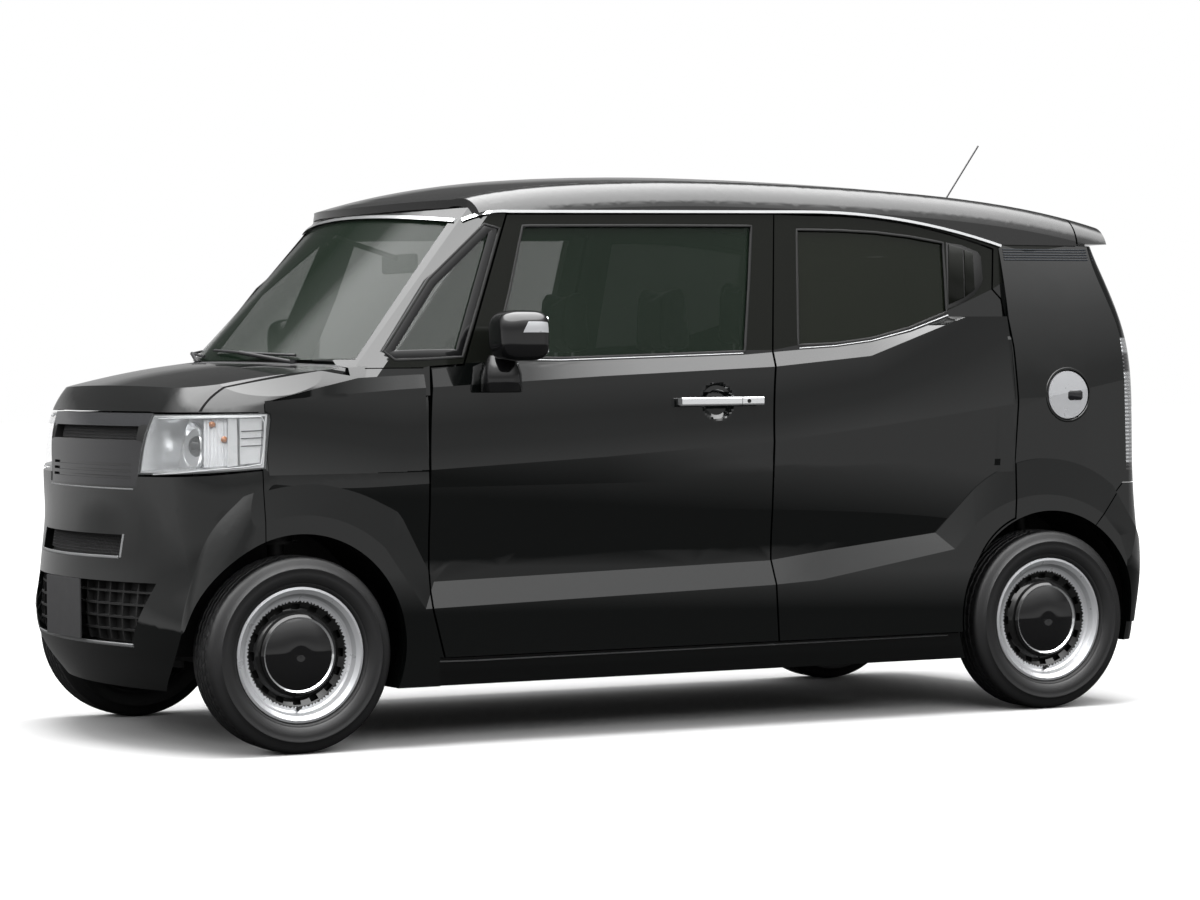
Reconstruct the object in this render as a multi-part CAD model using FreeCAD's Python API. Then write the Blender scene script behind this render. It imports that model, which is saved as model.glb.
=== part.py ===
"""Kei car: a four-door tall hatchback, left-right symmetrical, in millimetres.

Frame: +X forward, +Y to the car's left, +Z up, ground at z 0. The car is drawn from its axles, and
save() moves each piece so that the origin is under the middle of the length. Left pieces are
modelled and mirrored.
"""
import FreeCAD, Part
import math
import os
from functools import lru_cache

V = FreeCAD.Vector

# ---------------------------------------------------------------- driving dimensions
LENGTH = 3395.0
FRONT_OVERHANG = 447.5
WHEELBASE = 2520.0
TRACK = 1305.0
FLARE_Y = 737.5             # half of the overall body width
FRONT_AXLE = 1262.5
REAR_AXLE = FRONT_AXLE - WHEELBASE
FRONT_X = FRONT_AXLE + FRONT_OVERHANG
REAR_X = FRONT_X - LENGTH
MIDDLE_X = (FRONT_X + REAR_X) / 2
TYRE_R = 278.0
TYRE_W = 155.0
RIM_R = 178.0
HUB_Z = TYRE_R
ARCH_R = 318.0              # wheel opening
ARCH_Z = 300.0
LINER_T = 4.0
GAP = 6.0                   # shut lines
SKIN = 14.0                 # bonnet and wing thickness
DOOR_INSET = 36.0           # door frame thickness above the belt
SEAL_INSET = 43.0           # outer face of the door apertures
FRAME_INSET = 66.0          # inner face of the pillars
DOOR_IN_Y = 652.0           # inner face of a door below the belt
DOOR_STEP = 12.0            # a door's edge steps in behind its skin, so that it swings clear
DOOR_STEP_Y = 700.0
DOOR_STEP_IN = 4.0
SEAL_IN_Y = 645.0
FRAME_IN_Y = 606.0
BELT_Z = 1092.0
FLOOR_Z = 296.0
FLOOR_T = 34.0
SILL_Z = 168.0
SILL_FACE_Z = 169.0         # flat underside of the sills
DOOR_LOW_Z = 254.0
REAR_LOW_Z = 258.0
GLASS_T = 4.0
GLASS_IN = 8.0              # glass lies this far behind the frame's face
FIREWALL_X = 1010.0
ROOF_EDGE = 4.0             # the roof stands this proud of the side glass


def side_y(z):
    """Half width of the greenhouse at height z."""
    return 690.0 - 0.18 * (z - 1107.0)


# ---------------------------------------------------------------- shape helpers
def box(x0, x1, y0, y1, z0, z1):
    low = V(min(x0, x1), min(y0, y1), min(z0, z1))
    return Part.makeBox(abs(x1 - x0), abs(y1 - y0), abs(z1 - z0), low)


def tube_y(x, z, radius, y0, y1):
    return Part.makeCylinder(radius, y1 - y0, V(x, y0, z), V(0, 1, 0))


def rod(start, end, radius):
    direction = end - start
    return Part.makeCylinder(radius, direction.Length, start, direction)


def outline(points, place):
    """Closed wire. A point (a, b) ends a line; (a, b, c, d) ends an arc through (a, b) at (c, d)."""
    edges = []
    last = place(*points[0][-2:])
    for point in points[1:] + points[:1]:
        end = place(*point[-2:])
        if len(point) == 4:
            edges.append(Part.Arc(last, place(*point[:2]), end).toShape())
        else:
            edges.append(Part.LineSegment(last, end).toShape())
        last = end
    return Part.Wire(edges)


def side_prism(points, y0=400.0, y1=900.0):
    wire = outline(points, lambda x, z: V(x, y0, z))
    return Part.Face(wire).extrude(V(0, y1 - y0, 0))


def plan_prism(points, z0, z1):
    wire = outline(points, lambda x, y: V(x, y, z0))
    return Part.Face(wire).extrude(V(0, 0, z1 - z0))


def front_prism(points, x0, x1):
    wire = outline(points, lambda y, z: V(x0, y, z))
    return Part.Face(wire).extrude(V(x1 - x0, 0, 0))


def mirrored(shape):
    return shape.mirror(V(0, 0, 0), V(0, 1, 0))


def both(shape):
    return Part.makeCompound([shape, mirrored(shape)])


def largest(shape):
    return max(shape.Solids, key=lambda solid: solid.Volume)


def save(name, shape):
    solids = [solid for solid in shape.Solids if solid.Volume > 50.0]
    if not solids:
        raise ValueError("no solid in " + name)
    result = solids[0] if len(solids) == 1 else Part.makeCompound(solids)
    result = result.translated(V(-MIDDLE_X, 0, 0))
    result.exportStep("parts/%s.step" % name)


def save_pair(name, shape):
    save(name + "_left", shape)
    save(name + "_right", mirrored(shape))


# ---------------------------------------------------------------- body surfaces
# x, low y, crease z, crease y, shoulder z, shoulder y, edge z, edge y, crown z
BODY_SECTIONS = [
    (1760.0, 690.0, 775.0, 716.0, 935.0, 680.0, 948.0, 590.0, 985.0),
    (1350.0, 697.0, 778.0, 727.0, 990.0, 697.0, 1055.0, 622.0, 1086.0),
    (950.0, 697.0, 784.0, 728.0, 1014.0, 708.0, 1085.0, 690.0, 1120.0),
    (300.0, 697.0, 815.0, 728.0, 1050.0, 710.0, 1104.0, 690.0, 1135.0),
    (-280.0, 697.0, 851.0, 728.0, 1073.0, 710.0, 1121.0, 688.0, 1150.0),
    (-620.0, 697.0, 888.0, 728.0, 1103.0, 708.0, 1157.0, 684.0, 1180.0),
    (-900.0, 697.0, 922.0, 727.0, 1198.0, 697.0, 1230.0, 678.0, 1250.0),
    (-1134.0, 697.0, 952.0, 725.0, 1281.0, 684.0, 1316.0, 666.0, 1330.0),
]
# x, low y, crease z, crease y, top y
QUARTER_SECTIONS = [
    (-1134.0, 697.0, 952.0, 725.0, 630.0),
    (-1400.0, 697.0, 995.0, 722.0, 629.0),
    (-1760.0, 697.0, 1060.0, 706.0, 624.0),
]
QUARTER_TOP_Z = 1446.0
# z, front x, front radius, corner radius, half width
NOSE_LEVELS = [
    (150.0, 1605.0, 1500.0, 130.0, 690.0),
    (220.0, 1655.0, 1600.0, 130.0, 700.0),
    (300.0, 1692.0, 1680.0, 130.0, 706.0),
    (390.0, FRONT_X - 5.0, 1550.0, 140.0, 708.0),
    (500.0, 1701.0, 1368.0, 170.0, 710.0),
    (620.0, 1680.0, 1500.0, 220.0, 716.0),
    (740.0, 1648.0, 2200.0, 250.0, 726.0),
    (860.0, 1635.0, 2800.0, 290.0, 716.0),
    (950.0, 1612.0, 3000.0, 290.0, 704.0),
    (1010.0, 1584.0, 2800.0, 290.0, 692.0),
    (1060.0, 1546.0, 2400.0, 280.0, 670.0),
    (1130.0, 1470.0, 2000.0, 270.0, 640.0),
]
# z, rear x, rear radius, corner radius, half width
TAIL_LEVELS = [
    (150.0, REAR_X + 57.0, 9000.0, 120.0, 704.0),
    (262.0, REAR_X + 23.0, 9000.0, 120.0, 704.0),
    (380.0, REAR_X + 3.0, 9000.0, 125.0, 706.0),
    (446.0, REAR_X, 9000.0, 125.0, 708.0),
    (574.0, REAR_X + 16.0, 9000.0, 115.0, 712.0),
    (700.0, REAR_X + 34.0, 9000.0, 105.0, 718.0),
    (957.0, REAR_X + 44.0, 9000.0, 100.0, 724.0),
    (1154.0, REAR_X + 58.0, 9000.0, 100.0, 708.0),
    (1353.0, REAR_X + 116.0, 9000.0, 100.0, 662.0),
    (1440.0, REAR_X + 150.0, 9000.0, 90.0, 640.0),
    (1600.0, REAR_X + 216.0, 9000.0, 90.0, 615.0),
]


def end_wire(z, x_end, radius, corner, half, x_back):
    """Plan outline of one end: an arc across, tangent corner arcs, straight sides to x_back."""
    sign = 1.0 if x_end > x_back else -1.0
    reach = math.sqrt((radius - corner) ** 2 - (half - corner) ** 2)
    corner_x = abs(x_end) - radius + reach
    angle = math.atan2(half - corner, reach)
    join_x = abs(x_end) - radius + radius * math.cos(angle)
    join_y = radius * math.sin(angle)
    middle = (math.pi / 2 + angle) / 2
    mid_x = corner_x + corner * math.cos(middle)
    mid_y = half - corner + corner * math.sin(middle)
    points = [(x_back, half), (sign * corner_x, half),
              (sign * mid_x, mid_y, sign * join_x, join_y),
              (x_end, 0.0, sign * join_x, -join_y),
              (sign * mid_x, -mid_y, sign * corner_x, -half),
              (x_back, -half)]
    return outline(points, lambda x, y: V(x, y, z))


def end_solid(levels, inset, widen, x_back):
    wires = []
    for z, x_end, radius, corner, half in levels:
        sign = 1.0 if x_end > x_back else -1.0
        wires.append(end_wire(z, x_end - sign * inset, radius - inset, corner - inset + widen,
                              half - inset + widen, x_back))
    return Part.makeLoft(wires, True, False)


@lru_cache(None)
def nose(inset=0.0, widen=0.0):
    return end_solid(NOSE_LEVELS, inset, widen, -1800.0)


@lru_cache(None)
def tail(inset=0.0, widen=0.0):
    return end_solid(TAIL_LEVELS, inset, widen, 1800.0)


def body_wire(x, low_y, crease_z, crease_y, shoulder_z, shoulder_y, edge_z, edge_y, crown_z, inset):
    low_y, crease_y, shoulder_y, edge_y = [y - inset for y in (low_y, crease_y, shoulder_y, edge_y)]
    edge_z, crown_z = edge_z - inset, crown_z - inset
    shoulder_z = shoulder_z - 0.5 * inset
    mid = (0.5 * (crease_y + shoulder_y) - 7.0, 0.5 * (crease_z + shoulder_z))
    half = [(low_y, SILL_Z), (crease_y, crease_z), mid + (shoulder_y, shoulder_z),
            (edge_y, edge_z), (0.0, crown_z, -edge_y, edge_z),
            (-shoulder_y, shoulder_z), (-mid[0], mid[1], -crease_y, crease_z), (-low_y, SILL_Z)]
    return outline(half, lambda y, z: V(x, y, z))


@lru_cache(None)
def body(inset=0.0):
    wires = [body_wire(*row, inset) for row in BODY_SECTIONS]
    return Part.makeLoft(wires, True, False)


def quarter_wire(x, low_y, crease_z, crease_y, top_y, inset):
    mid_y = 0.5 * (crease_y + top_y) + 14.0 - inset
    mid_z = 0.5 * (crease_z + QUARTER_TOP_Z)
    low_y, crease_y, top_y = low_y - inset, crease_y - inset, top_y - inset
    half = [(low_y, SILL_Z), (crease_y, crease_z), (mid_y, mid_z, top_y, QUARTER_TOP_Z),
            (-top_y, QUARTER_TOP_Z), (-mid_y, mid_z, -crease_y, crease_z), (-low_y, SILL_Z)]
    return outline(half, lambda y, z: V(x, y, z))


def quarter(inset=0.0):
    wires = [quarter_wire(*row, inset) for row in QUARTER_SECTIONS]
    return Part.makeLoft(wires, True, True)


# the windscreen: middle and side points at two heights: z, middle x, side x, side y
SCREEN = [(1000.0, 1339.0, 1121.0, 640.0), (1700.0, 621.0, 529.0, 548.0)]


@lru_cache(None)
def greenhouse(inset=0.0, widen=0.0):
    """Glass house with a raked, curved screen, extended above the roof and behind the tail."""
    wires = []
    for z, mid_x, end_x, end_y in SCREEN:
        y = side_y(z) - inset + widen
        mid_x, end_x = mid_x - 1.3 * inset, end_x - 1.3 * inset
        end_y = end_y - inset + widen
        points = [(-1760.0, y), (end_x - 60.0, y), (end_x, end_y), (mid_x, 0.0, end_x, -end_y),
                  (end_x - 60.0, -y), (-1760.0, -y)]
        wires.append(outline(points, lambda a, b: V(a, b, z)))
    return Part.makeLoft(wires, True, True)


# x, edge z where the crown begins, crown z
ROOF_SECTIONS = [
    (860.0, 1505.0, 1532.0),
    (660.0, 1574.0, 1602.0),
    (350.0, 1616.0, 1648.0),
    (0.0, 1631.0, 1664.0),
    (-500.0, 1624.0, 1657.0),
    (-1000.0, 1596.0, 1629.0),
    (-1600.0, 1492.0, 1520.0),
]
ROOF_LOW_Z = 1000.0
ROOF_SHOULDER = 110.0       # width of the roof's rounded edge


@lru_cache(None)
def roof_body(inset=0.0):
    wires = []
    for x, edge_z, crown_z in ROOF_SECTIONS:
        low_y = side_y(ROOF_LOW_Z) + ROOF_EDGE - inset
        turn_z = edge_z - 78.0
        turn_y = side_y(turn_z) + ROOF_EDGE - inset
        crown_y = turn_y - ROOF_SHOULDER
        mid = (turn_y - 0.3 * ROOF_SHOULDER, turn_z + 56.0 - 0.7 * inset)
        edge_z, crown_z = edge_z - inset, crown_z - inset
        points = [(low_y, ROOF_LOW_Z), (turn_y, turn_z), mid + (crown_y, edge_z),
                  (0.0, crown_z, -crown_y, edge_z), (-mid[0], mid[1], -turn_y, turn_z),
                  (-low_y, ROOF_LOW_Z)]
        wires.append(outline(points, lambda y, z: V(x, y, z)))
    return Part.makeLoft(wires, True, False)


# ---------------------------------------------------------------- wheel flares and door bottoms
FLARE_FOOT_Y = 696.0         # the body's half width at the sill, where the flare's foot starts
FLARE_FOOT_RISE = 0.048      # and how fast that grows with height
FLARE_REAR_WIDEN = 33.0      # how far the tail stands out for the flare
# z, front x, front radius, corner radius, half width of the flares' front ends
FLARE_NOSE_LEVELS = [
    (100.0, 1460.0, 9000.0, 120.0, 738.0),
    (152.0, 1505.0, 9000.0, 120.0, 738.0),
    (217.0, 1562.0, 9000.0, 120.0, 738.0),
    (280.0, 1590.0, 9000.0, 120.0, 738.0),
    (350.0, 1602.0, 9000.0, 120.0, 738.0),
    (434.0, 1588.0, 9000.0, 120.0, 738.0),
    (557.0, 1556.0, 9000.0, 120.0, 738.0),
    (700.0, 1505.0, 9000.0, 120.0, 738.0),
    (850.0, 1450.0, 9000.0, 120.0, 738.0),
]
FLARE_OUTER = [
    (1740.0, 172.0), (1700.0, 300.0), (1627.0, 459.0), (1575.0, 590.0), (1470.0, 704.0),
    (1280.0, 765.0, 962.0, 677.0),
    (849.0, 469.0), (-255.0, 494.0), (-421.0, 515.0), (-841.0, 560.0), (-977.0, 688.0),
    (-1262.0, 779.0, -1500.0, 690.0), (-1599.0, 546.0), (-1740.0, 380.0), (-1740.0, REAR_LOW_Z),
    (-925.0, REAR_LOW_Z), (-925.0, DOOR_LOW_Z), (845.0, DOOR_LOW_Z), (845.0, 172.0),
]
FLARE_INNER = [
    (1720.0, 172.0), (1670.0, 300.0), (1585.0, 400.0), (1523.0, 551.0), (1418.0, 634.0),
    (1255.0, 670.0, 1010.0, 570.0),
    (887.0, 394.0), (-249.0, 422.0), (-416.0, 431.0), (-898.0, 509.0), (-972.0, 581.0),
    (-1258.0, 667.0, -1448.0, 605.0), (-1515.0, 533.0), (-1570.0, 380.0), (-1575.0, REAR_LOW_Z),
    (-925.0, REAR_LOW_Z), (-925.0, DOOR_LOW_Z), (845.0, DOOR_LOW_Z), (845.0, 172.0),
]


def flare():
    """Raised band round the arches and along the door bottoms, bevelled at its upper edge."""
    def foot_at(x, z):
        return V(x, FLARE_FOOT_Y + FLARE_FOOT_RISE * (z - SILL_Z), z)

    bevel = Part.makeLoft([outline(FLARE_OUTER, foot_at),
                           outline(FLARE_INNER, lambda x, z: V(x, FLARE_Y, z))], True, True)
    foot = Part.makeLoft([outline(FLARE_OUTER, lambda x, z: V(x, 560.0, z)),
                          outline(FLARE_OUTER, foot_at)], True, True)
    band = foot.fuse(bevel)
    lobe = end_solid(FLARE_NOSE_LEVELS, 0.0, 0.0, -1800.0)
    front = band.common(box(0.0, 1800.0, 500.0, 900.0, 100.0, 849.0)).common(lobe)
    rear = band.common(box(-1800.0, 0.0, 500.0, 900.0, 100.0, 900.0))
    rear = rear.common(tail(0.0, FLARE_REAR_WIDEN))
    return [front, rear]


def arch(x, radius, y0, y1):
    return tube_y(x, ARCH_Z, radius, y0, y1)


ARCHES = [arch(FRONT_AXLE + 3.0, ARCH_R, 380.0, 900.0), arch(REAR_AXLE + 6.0, ARCH_R, 380.0, 900.0)]

# ---------------------------------------------------------------- side openings (x, z)
FRONT_DOOR = [
    (559.0, 1521.0), (-334.5, 1531.0), (-284.0, 1123.0), (-264.0, 854.0),
    (-258.0, 494.0), (-270.0, DOOR_LOW_Z), (826.0, DOOR_LOW_Z), (861.0, 393.0), (862.0, 786.0),
    (843.0, 1078.0), (738.0, 1084.0),
]
REAR_DOOR = [
    (-339.0, 1531.0), (-480.0, 1528.0), (-800.0, 1505.0, -1110.0, 1430.0),
    (-1092.0, 1306.0), (-1121.0, 1275.0), (-1138.0, 1126.0), (-1141.0, 960.0), (-1129.0, 764.0),
    (-1119.0, 600.0), (-1050.0, 560.0, -985.0, 480.0), (-940.0, 390.0, -926.0, DOOR_LOW_Z),
    (-276.0, DOOR_LOW_Z), (-264.0, 494.0), (-270.0, 854.0), (-290.0, 1123.0),
]
FRONT_DOOR_GLASS = [
    (511.0, 1486.0), (-253.0, 1493.0), (-189.0, 1123.0), (431.0, 1107.0), (640.0, 1112.0),
    (569.0, 1300.0),
]
REAR_DOOR_GLASS = [
    (-415.0, 1485.0), (-680.0, 1480.0, -929.0, 1448.0), (-917.0, 1239.0),
    (-640.0, 1160.0, -381.0, 1138.0),
]
QUARTER_GLASS = [(634.0, 1490.0), (592.0, 1482.0), (744.0, 1112.0), (954.0, 1106.0),
                 (985.0, 1126.0), (826.0, 1330.0)]


def arc_centre(a, b, c):
    """Centre of the circle through three points in a plane."""
    (ax, ay), (bx, by), (cx, cy) = a, b, c
    d = 2.0 * (ax * (by - cy) + bx * (cy - ay) + cx * (ay - by))
    a2, b2, c2 = ax * ax + ay * ay, bx * bx + by * by, cx * cx + cy * cy
    return ((a2 * (by - cy) + b2 * (cy - ay) + c2 * (ay - by)) / d,
            (a2 * (cx - bx) + b2 * (ax - cx) + c2 * (bx - ax)) / d)


def end_tangents(start, row):
    """Unit directions of travel at the start and the end of one outline step."""
    end = row[-2:]
    chord = (end[0] - start[0], end[1] - start[1])
    size = math.hypot(*chord)
    straight = (chord[0] / size, chord[1] / size)
    if len(row) == 2:
        return straight, straight
    centre = arc_centre(start, row[:2], end)
    result = []
    for x, y in (start, end):
        across = (y - centre[1], centre[0] - x)
        sign = 1.0 if across[0] * chord[0] + across[1] * chord[1] > 0 else -1.0
        size = math.hypot(*across)
        result.append((sign * across[0] / size, sign * across[1] / size))
    return result


def offset_outline(points, distance):
    """The outline grown by distance (shrunk if negative), with mitred corners."""
    ends = [row[-2:] for row in points]
    area = sum(a[0] * b[1] - b[0] * a[1] for a, b in zip(ends, ends[1:] + ends[:1]))
    side = distance if area > 0 else -distance
    count = len(points)
    tangents = [end_tangents(ends[i - 1], points[i]) for i in range(count)]
    result = []
    for i in range(count):
        into, out = tangents[i][1], tangents[(i + 1) % count][0]
        normal = (into[1] + out[1], -into[0] - out[0])
        size = math.hypot(*normal)
        reach = side * 2.0 / (size * size)
        corner = (ends[i][0] + normal[0] * reach, ends[i][1] + normal[1] * reach)
        if len(points[i]) == 4:
            centre = arc_centre(ends[i - 1], points[i][:2], ends[i])
            mid = points[i][:2]
            chord = tangents[i][0]
            radial = (mid[0] - centre[0], mid[1] - centre[1])
            size = math.hypot(*radial)
            radial = (radial[0] / size, radial[1] / size)
            turn = tangents[i][0][0] * tangents[i][1][1] - tangents[i][0][1] * tangents[i][1][0]
            grow = side if turn > 0 else -side
            corner = (mid[0] + radial[0] * grow, mid[1] + radial[1] * grow) + corner
        result.append(corner)
    return result


def grown(points, distance):
    """Side prism of the outline grown outward (shrunk, if negative) in its own plane."""
    return side_prism(offset_outline(points, distance))


# ---------------------------------------------------------------- cabin and shells
def cabin(inset, half_y, rear_inset):
    """Free space inside the cabin, with the given wall thicknesses."""
    low = box(-1640.0, FIREWALL_X, -half_y, half_y, FLOOR_Z, BELT_Z)
    high = greenhouse(inset).common(box(-1760.0, 1300.0, -800.0, 800.0, BELT_Z - 40.0, 1680.0))
    high = high.common(roof_body(inset * 0.8))
    low_front = greenhouse(inset).common(box(FIREWALL_X, 1300.0, -640.0, 640.0, 1125.0, 1300.0))
    return low.fuse(high).fuse(low_front).common(tail(rear_inset))


def strip_prism(y0=-900.0, y1=900.0):
    """Everything above the bright moulding that runs along the roof's lower edge."""
    points = [(1300.0, 1380.0), (690.0, 1511.0), (635.0, 1529.0, 554.0, 1535.0), (-431.0, 1545.0),
              (-800.0, 1522.0, -1144.0, 1446.0), (-1700.0, 1443.0), (-1700.0, 1900.0),
              (1300.0, 1900.0)]
    return side_prism(points, y0, y1)


# ---------------------------------------------------------------- side panels
def door(left, points, cabin_in, glass):
    """A door as thick as the real one, with its window cut."""
    leaf = left.common(side_prism(points)).cut(cabin_in)
    leaf = leaf.cut(box(-1700.0, 1300.0, 0.0, DOOR_IN_Y, 100.0, FLOOR_Z + 2.0))
    leaf = leaf.cut(cabin(DOOR_STEP, DOOR_STEP_Y, 45.0).cut(grown(points, -DOOR_STEP_IN)))
    return largest(leaf.cut(side_prism(glass)))


def side_glass(points):
    """A pane that lies in its frame, a little behind the frame's outer face."""
    pane = greenhouse(GLASS_IN).cut(greenhouse(GLASS_IN + GLASS_T))
    edge = grown(points, -0.6)
    return largest(pane.common(edge).common(box(-1300.0, 1150.0, 500.0, 800.0, 1080.0, 1520.0)))


PILLAR_Z = 1080.0           # foot of the windscreen pillars
# y, z of the windscreen opening seen from the front
SCREEN_OPENING = [(-612.0, 1104.0), (612.0, 1104.0), (540.0, 1502.0), (0.0, 1536.0, -540.0, 1502.0)]


def side_frame(left, seal, cabin_frame, lamp_zone, tail_cut):
    """Pillars, sill, roof rail and rear wing of one side."""
    zone = box(-1760.0, 868.0, 400.0, 900.0, SILL_FACE_Z, 1660.0)
    pillar = side_prism([(868.0, PILLAR_Z), (1150.0, PILLAR_Z), (640.0, 1660.0), (560.0, 1660.0),
                         (560.0, PILLAR_Z)])
    frame = left.common(zone.fuse(pillar)).cut(cabin_frame)
    frame = frame.cut(side_prism(QUARTER_GLASS))
    frame = frame.cut(front_prism(SCREEN_OPENING, 560.0, 1500.0))
    for points in (FRONT_DOOR, REAR_DOOR):
        frame = frame.cut(grown(points, GAP).cut(seal))
        frame = frame.cut(grown(points, -24.0))
    wing_space = side_prism(WING).common(box(600.0, 1800.0, 0.0, 900.0, 100.0, PILLAR_Z - 1.0))
    frame = frame.cut(box(-1760.0, 868.0, 0.0, FRAME_IN_Y, 100.0, FLOOR_Z + 1.0))
    beside = box(600.0, 1500.0, 0.0, 900.0, PILLAR_Z - 1.0, 1300.0).cut(greenhouse(-3.0))
    beside = beside.common(side_prism(WING))
    frame = frame.cut(wing_space).cut(beside).cut(bonnet_plan(-GAP / 2))
    return frame.cut(lamp_zone).cut(tail_cut)


def build():
    os.makedirs("parts", exist_ok=True)
    nose_body = nose()
    tail_body = tail()
    lower = body().common(nose_body)
    hind = quarter().common(tail_body)
    glasshouse = greenhouse().common(tail_body)
    glasshouse = glasshouse.common(box(-1760.0, 1400.0, -800.0, 800.0, 1000.0, 1660.0))
    roof_shape = roof_body()
    cap = strip_prism()
    full = lower.fuse(hind).fuse(glasshouse)
    core = full.cut(cap)
    left = core.common(box(-1760.0, 1760.0, 400.0, 900.0, 100.0, 1700.0))
    left = left.multiFuse(flare(), 0.01)
    for cutter in ARCHES:
        left = left.cut(cutter)

    cabin_in = cabin(DOOR_INSET, DOOR_IN_Y, 45.0)
    seal = cabin(SEAL_INSET, SEAL_IN_Y, 45.0)
    cabin_frame = cabin(FRAME_INSET, FRAME_IN_Y, 45.0)

    # ------------------------------------------------------------ doors
    front_door = door(left, FRONT_DOOR, cabin_in, FRONT_DOOR_GLASS)
    cup_middle = V(CUP_X, 728.0 + 0.68 * CUP_R, HANDLE_Z + 2.0)
    front_door = front_door.cut(Part.makeSphere(CUP_R, cup_middle))
    rear_door = door(left, REAR_DOOR, cabin_in, REAR_DOOR_GLASS)
    save_pair("front_door", front_door)
    save_pair("rear_door", rear_door)
    save_pair("front_door_glass", side_glass(FRONT_DOOR_GLASS))
    save_pair("rear_door_glass", side_glass(REAR_DOOR_GLASS))
    save("quarter_glasses", both(side_glass(QUARTER_GLASS)))

    # ------------------------------------------------------------ tail: gate, lamps, bumper
    gate_zone = tail_gate_zone()
    lamp_zone = tail_lamp_zone()
    bumper_zone = rear_bumper_zone()
    tail_cut = gate_zone.fuse(bumper_zone)
    frame = side_frame(left, seal, cabin_frame, lamp_zone, tail_cut)
    fuel_door = tube_y(FUEL_X, FUEL_Z, FUEL_R, 690.0, 800.0)
    fuel_cup = tube_y(FUEL_X, FUEL_Z, FUEL_R + GAP, 672.0, 800.0)
    lid = largest(frame.common(tube_y(FUEL_X, FUEL_Z, FUEL_R, 706.0, 800.0)))
    arm = box(FUEL_X + 40.0, FUEL_X + 50.0, 672.3, 710.0, FUEL_Z - 15.0, FUEL_Z + 15.0)
    save("fuel_lid", lid.fuse(arm))
    mould = moulding()
    frame = largest(frame.cut(mould))
    save("side_frame_left", largest(frame.cut(fuel_cup)))
    save("side_frame_right", mirrored(frame))

    rear_shell = core.common(box(-1760.0, -1300.0, -800.0, 800.0, 200.0, 1600.0))
    rear_half = left.common(box(-1760.0, -1200.0, 400.0, 900.0, 200.0, 760.0))
    lamp = rear_shell.common(lamp_zone).cut(tail(48.0))
    save("tail_lamps", both(largest(lamp.common(box(-1760.0, -1400.0, 0.0, 900.0, 700.0, 1200.0)))))

    gate_in = tail(46.0).common(box(-1760.0, -1300.0, -560.0, 560.0, 520.0, 1408.0))
    gate_glass = front_prism(GATE_GLASS, -1800.0, -1300.0)
    gate_cut = tail_gate_zone(GAP)
    gate = full.common(gate_cut).cut(gate_in)
    gate = gate.fuse(spoiler(roof_shape)).cut(gate_glass)
    save("tailgate", largest(gate))
    pane = tail(GLASS_IN).cut(tail(GLASS_IN + GLASS_T))
    glass_edge = front_prism(shrunk_window(GATE_GLASS, 0.8), -1800.0, -1300.0)
    save("tailgate_glass", largest(pane.common(glass_edge)))

    rear_skin = rear_shell.fuse(rear_half).fuse(mirrored(rear_half))
    inside = tail(26.0).common(box(-1760.0, -1200.0, -800.0, 800.0, 100.0, 640.0))
    bumper = rear_skin.common(rear_bumper_zone(GAP / 2)).cut(inside.cut(wheel_side_keep()))
    bumper = largest(bumper.cut(ARCHES[1]).cut(mirrored(ARCHES[1])))
    save("rear_bumper", bumper)

    # ------------------------------------------------------------ roof
    roof = roof_shape.common(cap).cut(roof_body(22.0))
    roof = roof.common(roof_plan()).cut(spoiler_zone(-GAP / 2))
    header = greenhouse().cut(greenhouse(28.0)).common(roof_shape)
    header = header.common(box(560.0, 900.0, -600.0, 600.0, 1490.0, 1620.0))
    header = header.cut(front_prism(SCREEN_OPENING, 560.0, 1500.0))
    middle = header.common(box(560.0, 900.0, -400.0, 400.0, 1490.0, 1620.0))
    roof = roof.fuse(header.common(cap)).fuse(middle)
    roof = largest(roof.cut(mould))
    save("roof_panel", roof)
    save("roof_mouldings", mould)

    # ------------------------------------------------------------ front
    pane = greenhouse(6.0).cut(greenhouse(6.0 + GLASS_T))
    pane = pane.common(front_prism(offset_outline(SCREEN_OPENING, -1.0), 560.0, 1500.0))
    save("windscreen", largest(pane))
    front_bumper, wing = build_front(left, lower, frame)
    build_fittings(front_door, roof)
    build_floor([front_bumper, bumper], [wing, frame])
    build_cabin()
    build_running_gear()


FUEL_X, FUEL_Z, FUEL_R = -1332.0, 977.0, 74.0
HANDLE_Z = 972.0
CUP_X = -81.0
CUP_R = 84.0
GATE_TOP_X = -1430.0        # shut line across the roof
GATE_HALF_LOW = 560.0
GATE_HALF_HIGH = 560.0
GATE_LOW_Z = 560.0
GATE_HINGE = (GATE_TOP_X, 1566.0)      # at the roof skin, over the shut line
# y, z of the tailgate's window
GATE_GLASS = [(-500.0, 1400.0), (500.0, 1400.0), (535.0, 1060.0), (-535.0, 1060.0)]


def shrunk_window(points, distance):
    result = []
    for y, z in points:
        middle_z = 0.5 * (points[0][1] + points[2][1])
        result.append((y - math.copysign(distance, y), z - math.copysign(distance, z - middle_z)))
    return result


def tail_gate_zone(inset=0.0):
    """Region of the tailgate seen from behind."""
    half_low, half_high = GATE_HALF_LOW - inset, GATE_HALF_HIGH - inset
    low, high = GATE_LOW_Z + inset, 1460.0
    points = [(-half_low, low), (-half_low, 1150.0), (-half_high, high), (half_high, high),
              (half_low, 1150.0), (half_low, low)]
    return front_prism(points, -1800.0, -1450.0)


def tail_lamp_zone():
    """Region of the tail lamps: the upper part of both rear corners."""
    side = side_prism([(-1545.0, 1154.0), (-1760.0, 1154.0), (-1760.0, 737.0), (-1560.0, 737.0)],
                      -900.0, 900.0)
    return side.cut(box(-1800.0, -1300.0, -GATE_HALF_LOW, GATE_HALF_LOW, 600.0, 1300.0))


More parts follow.
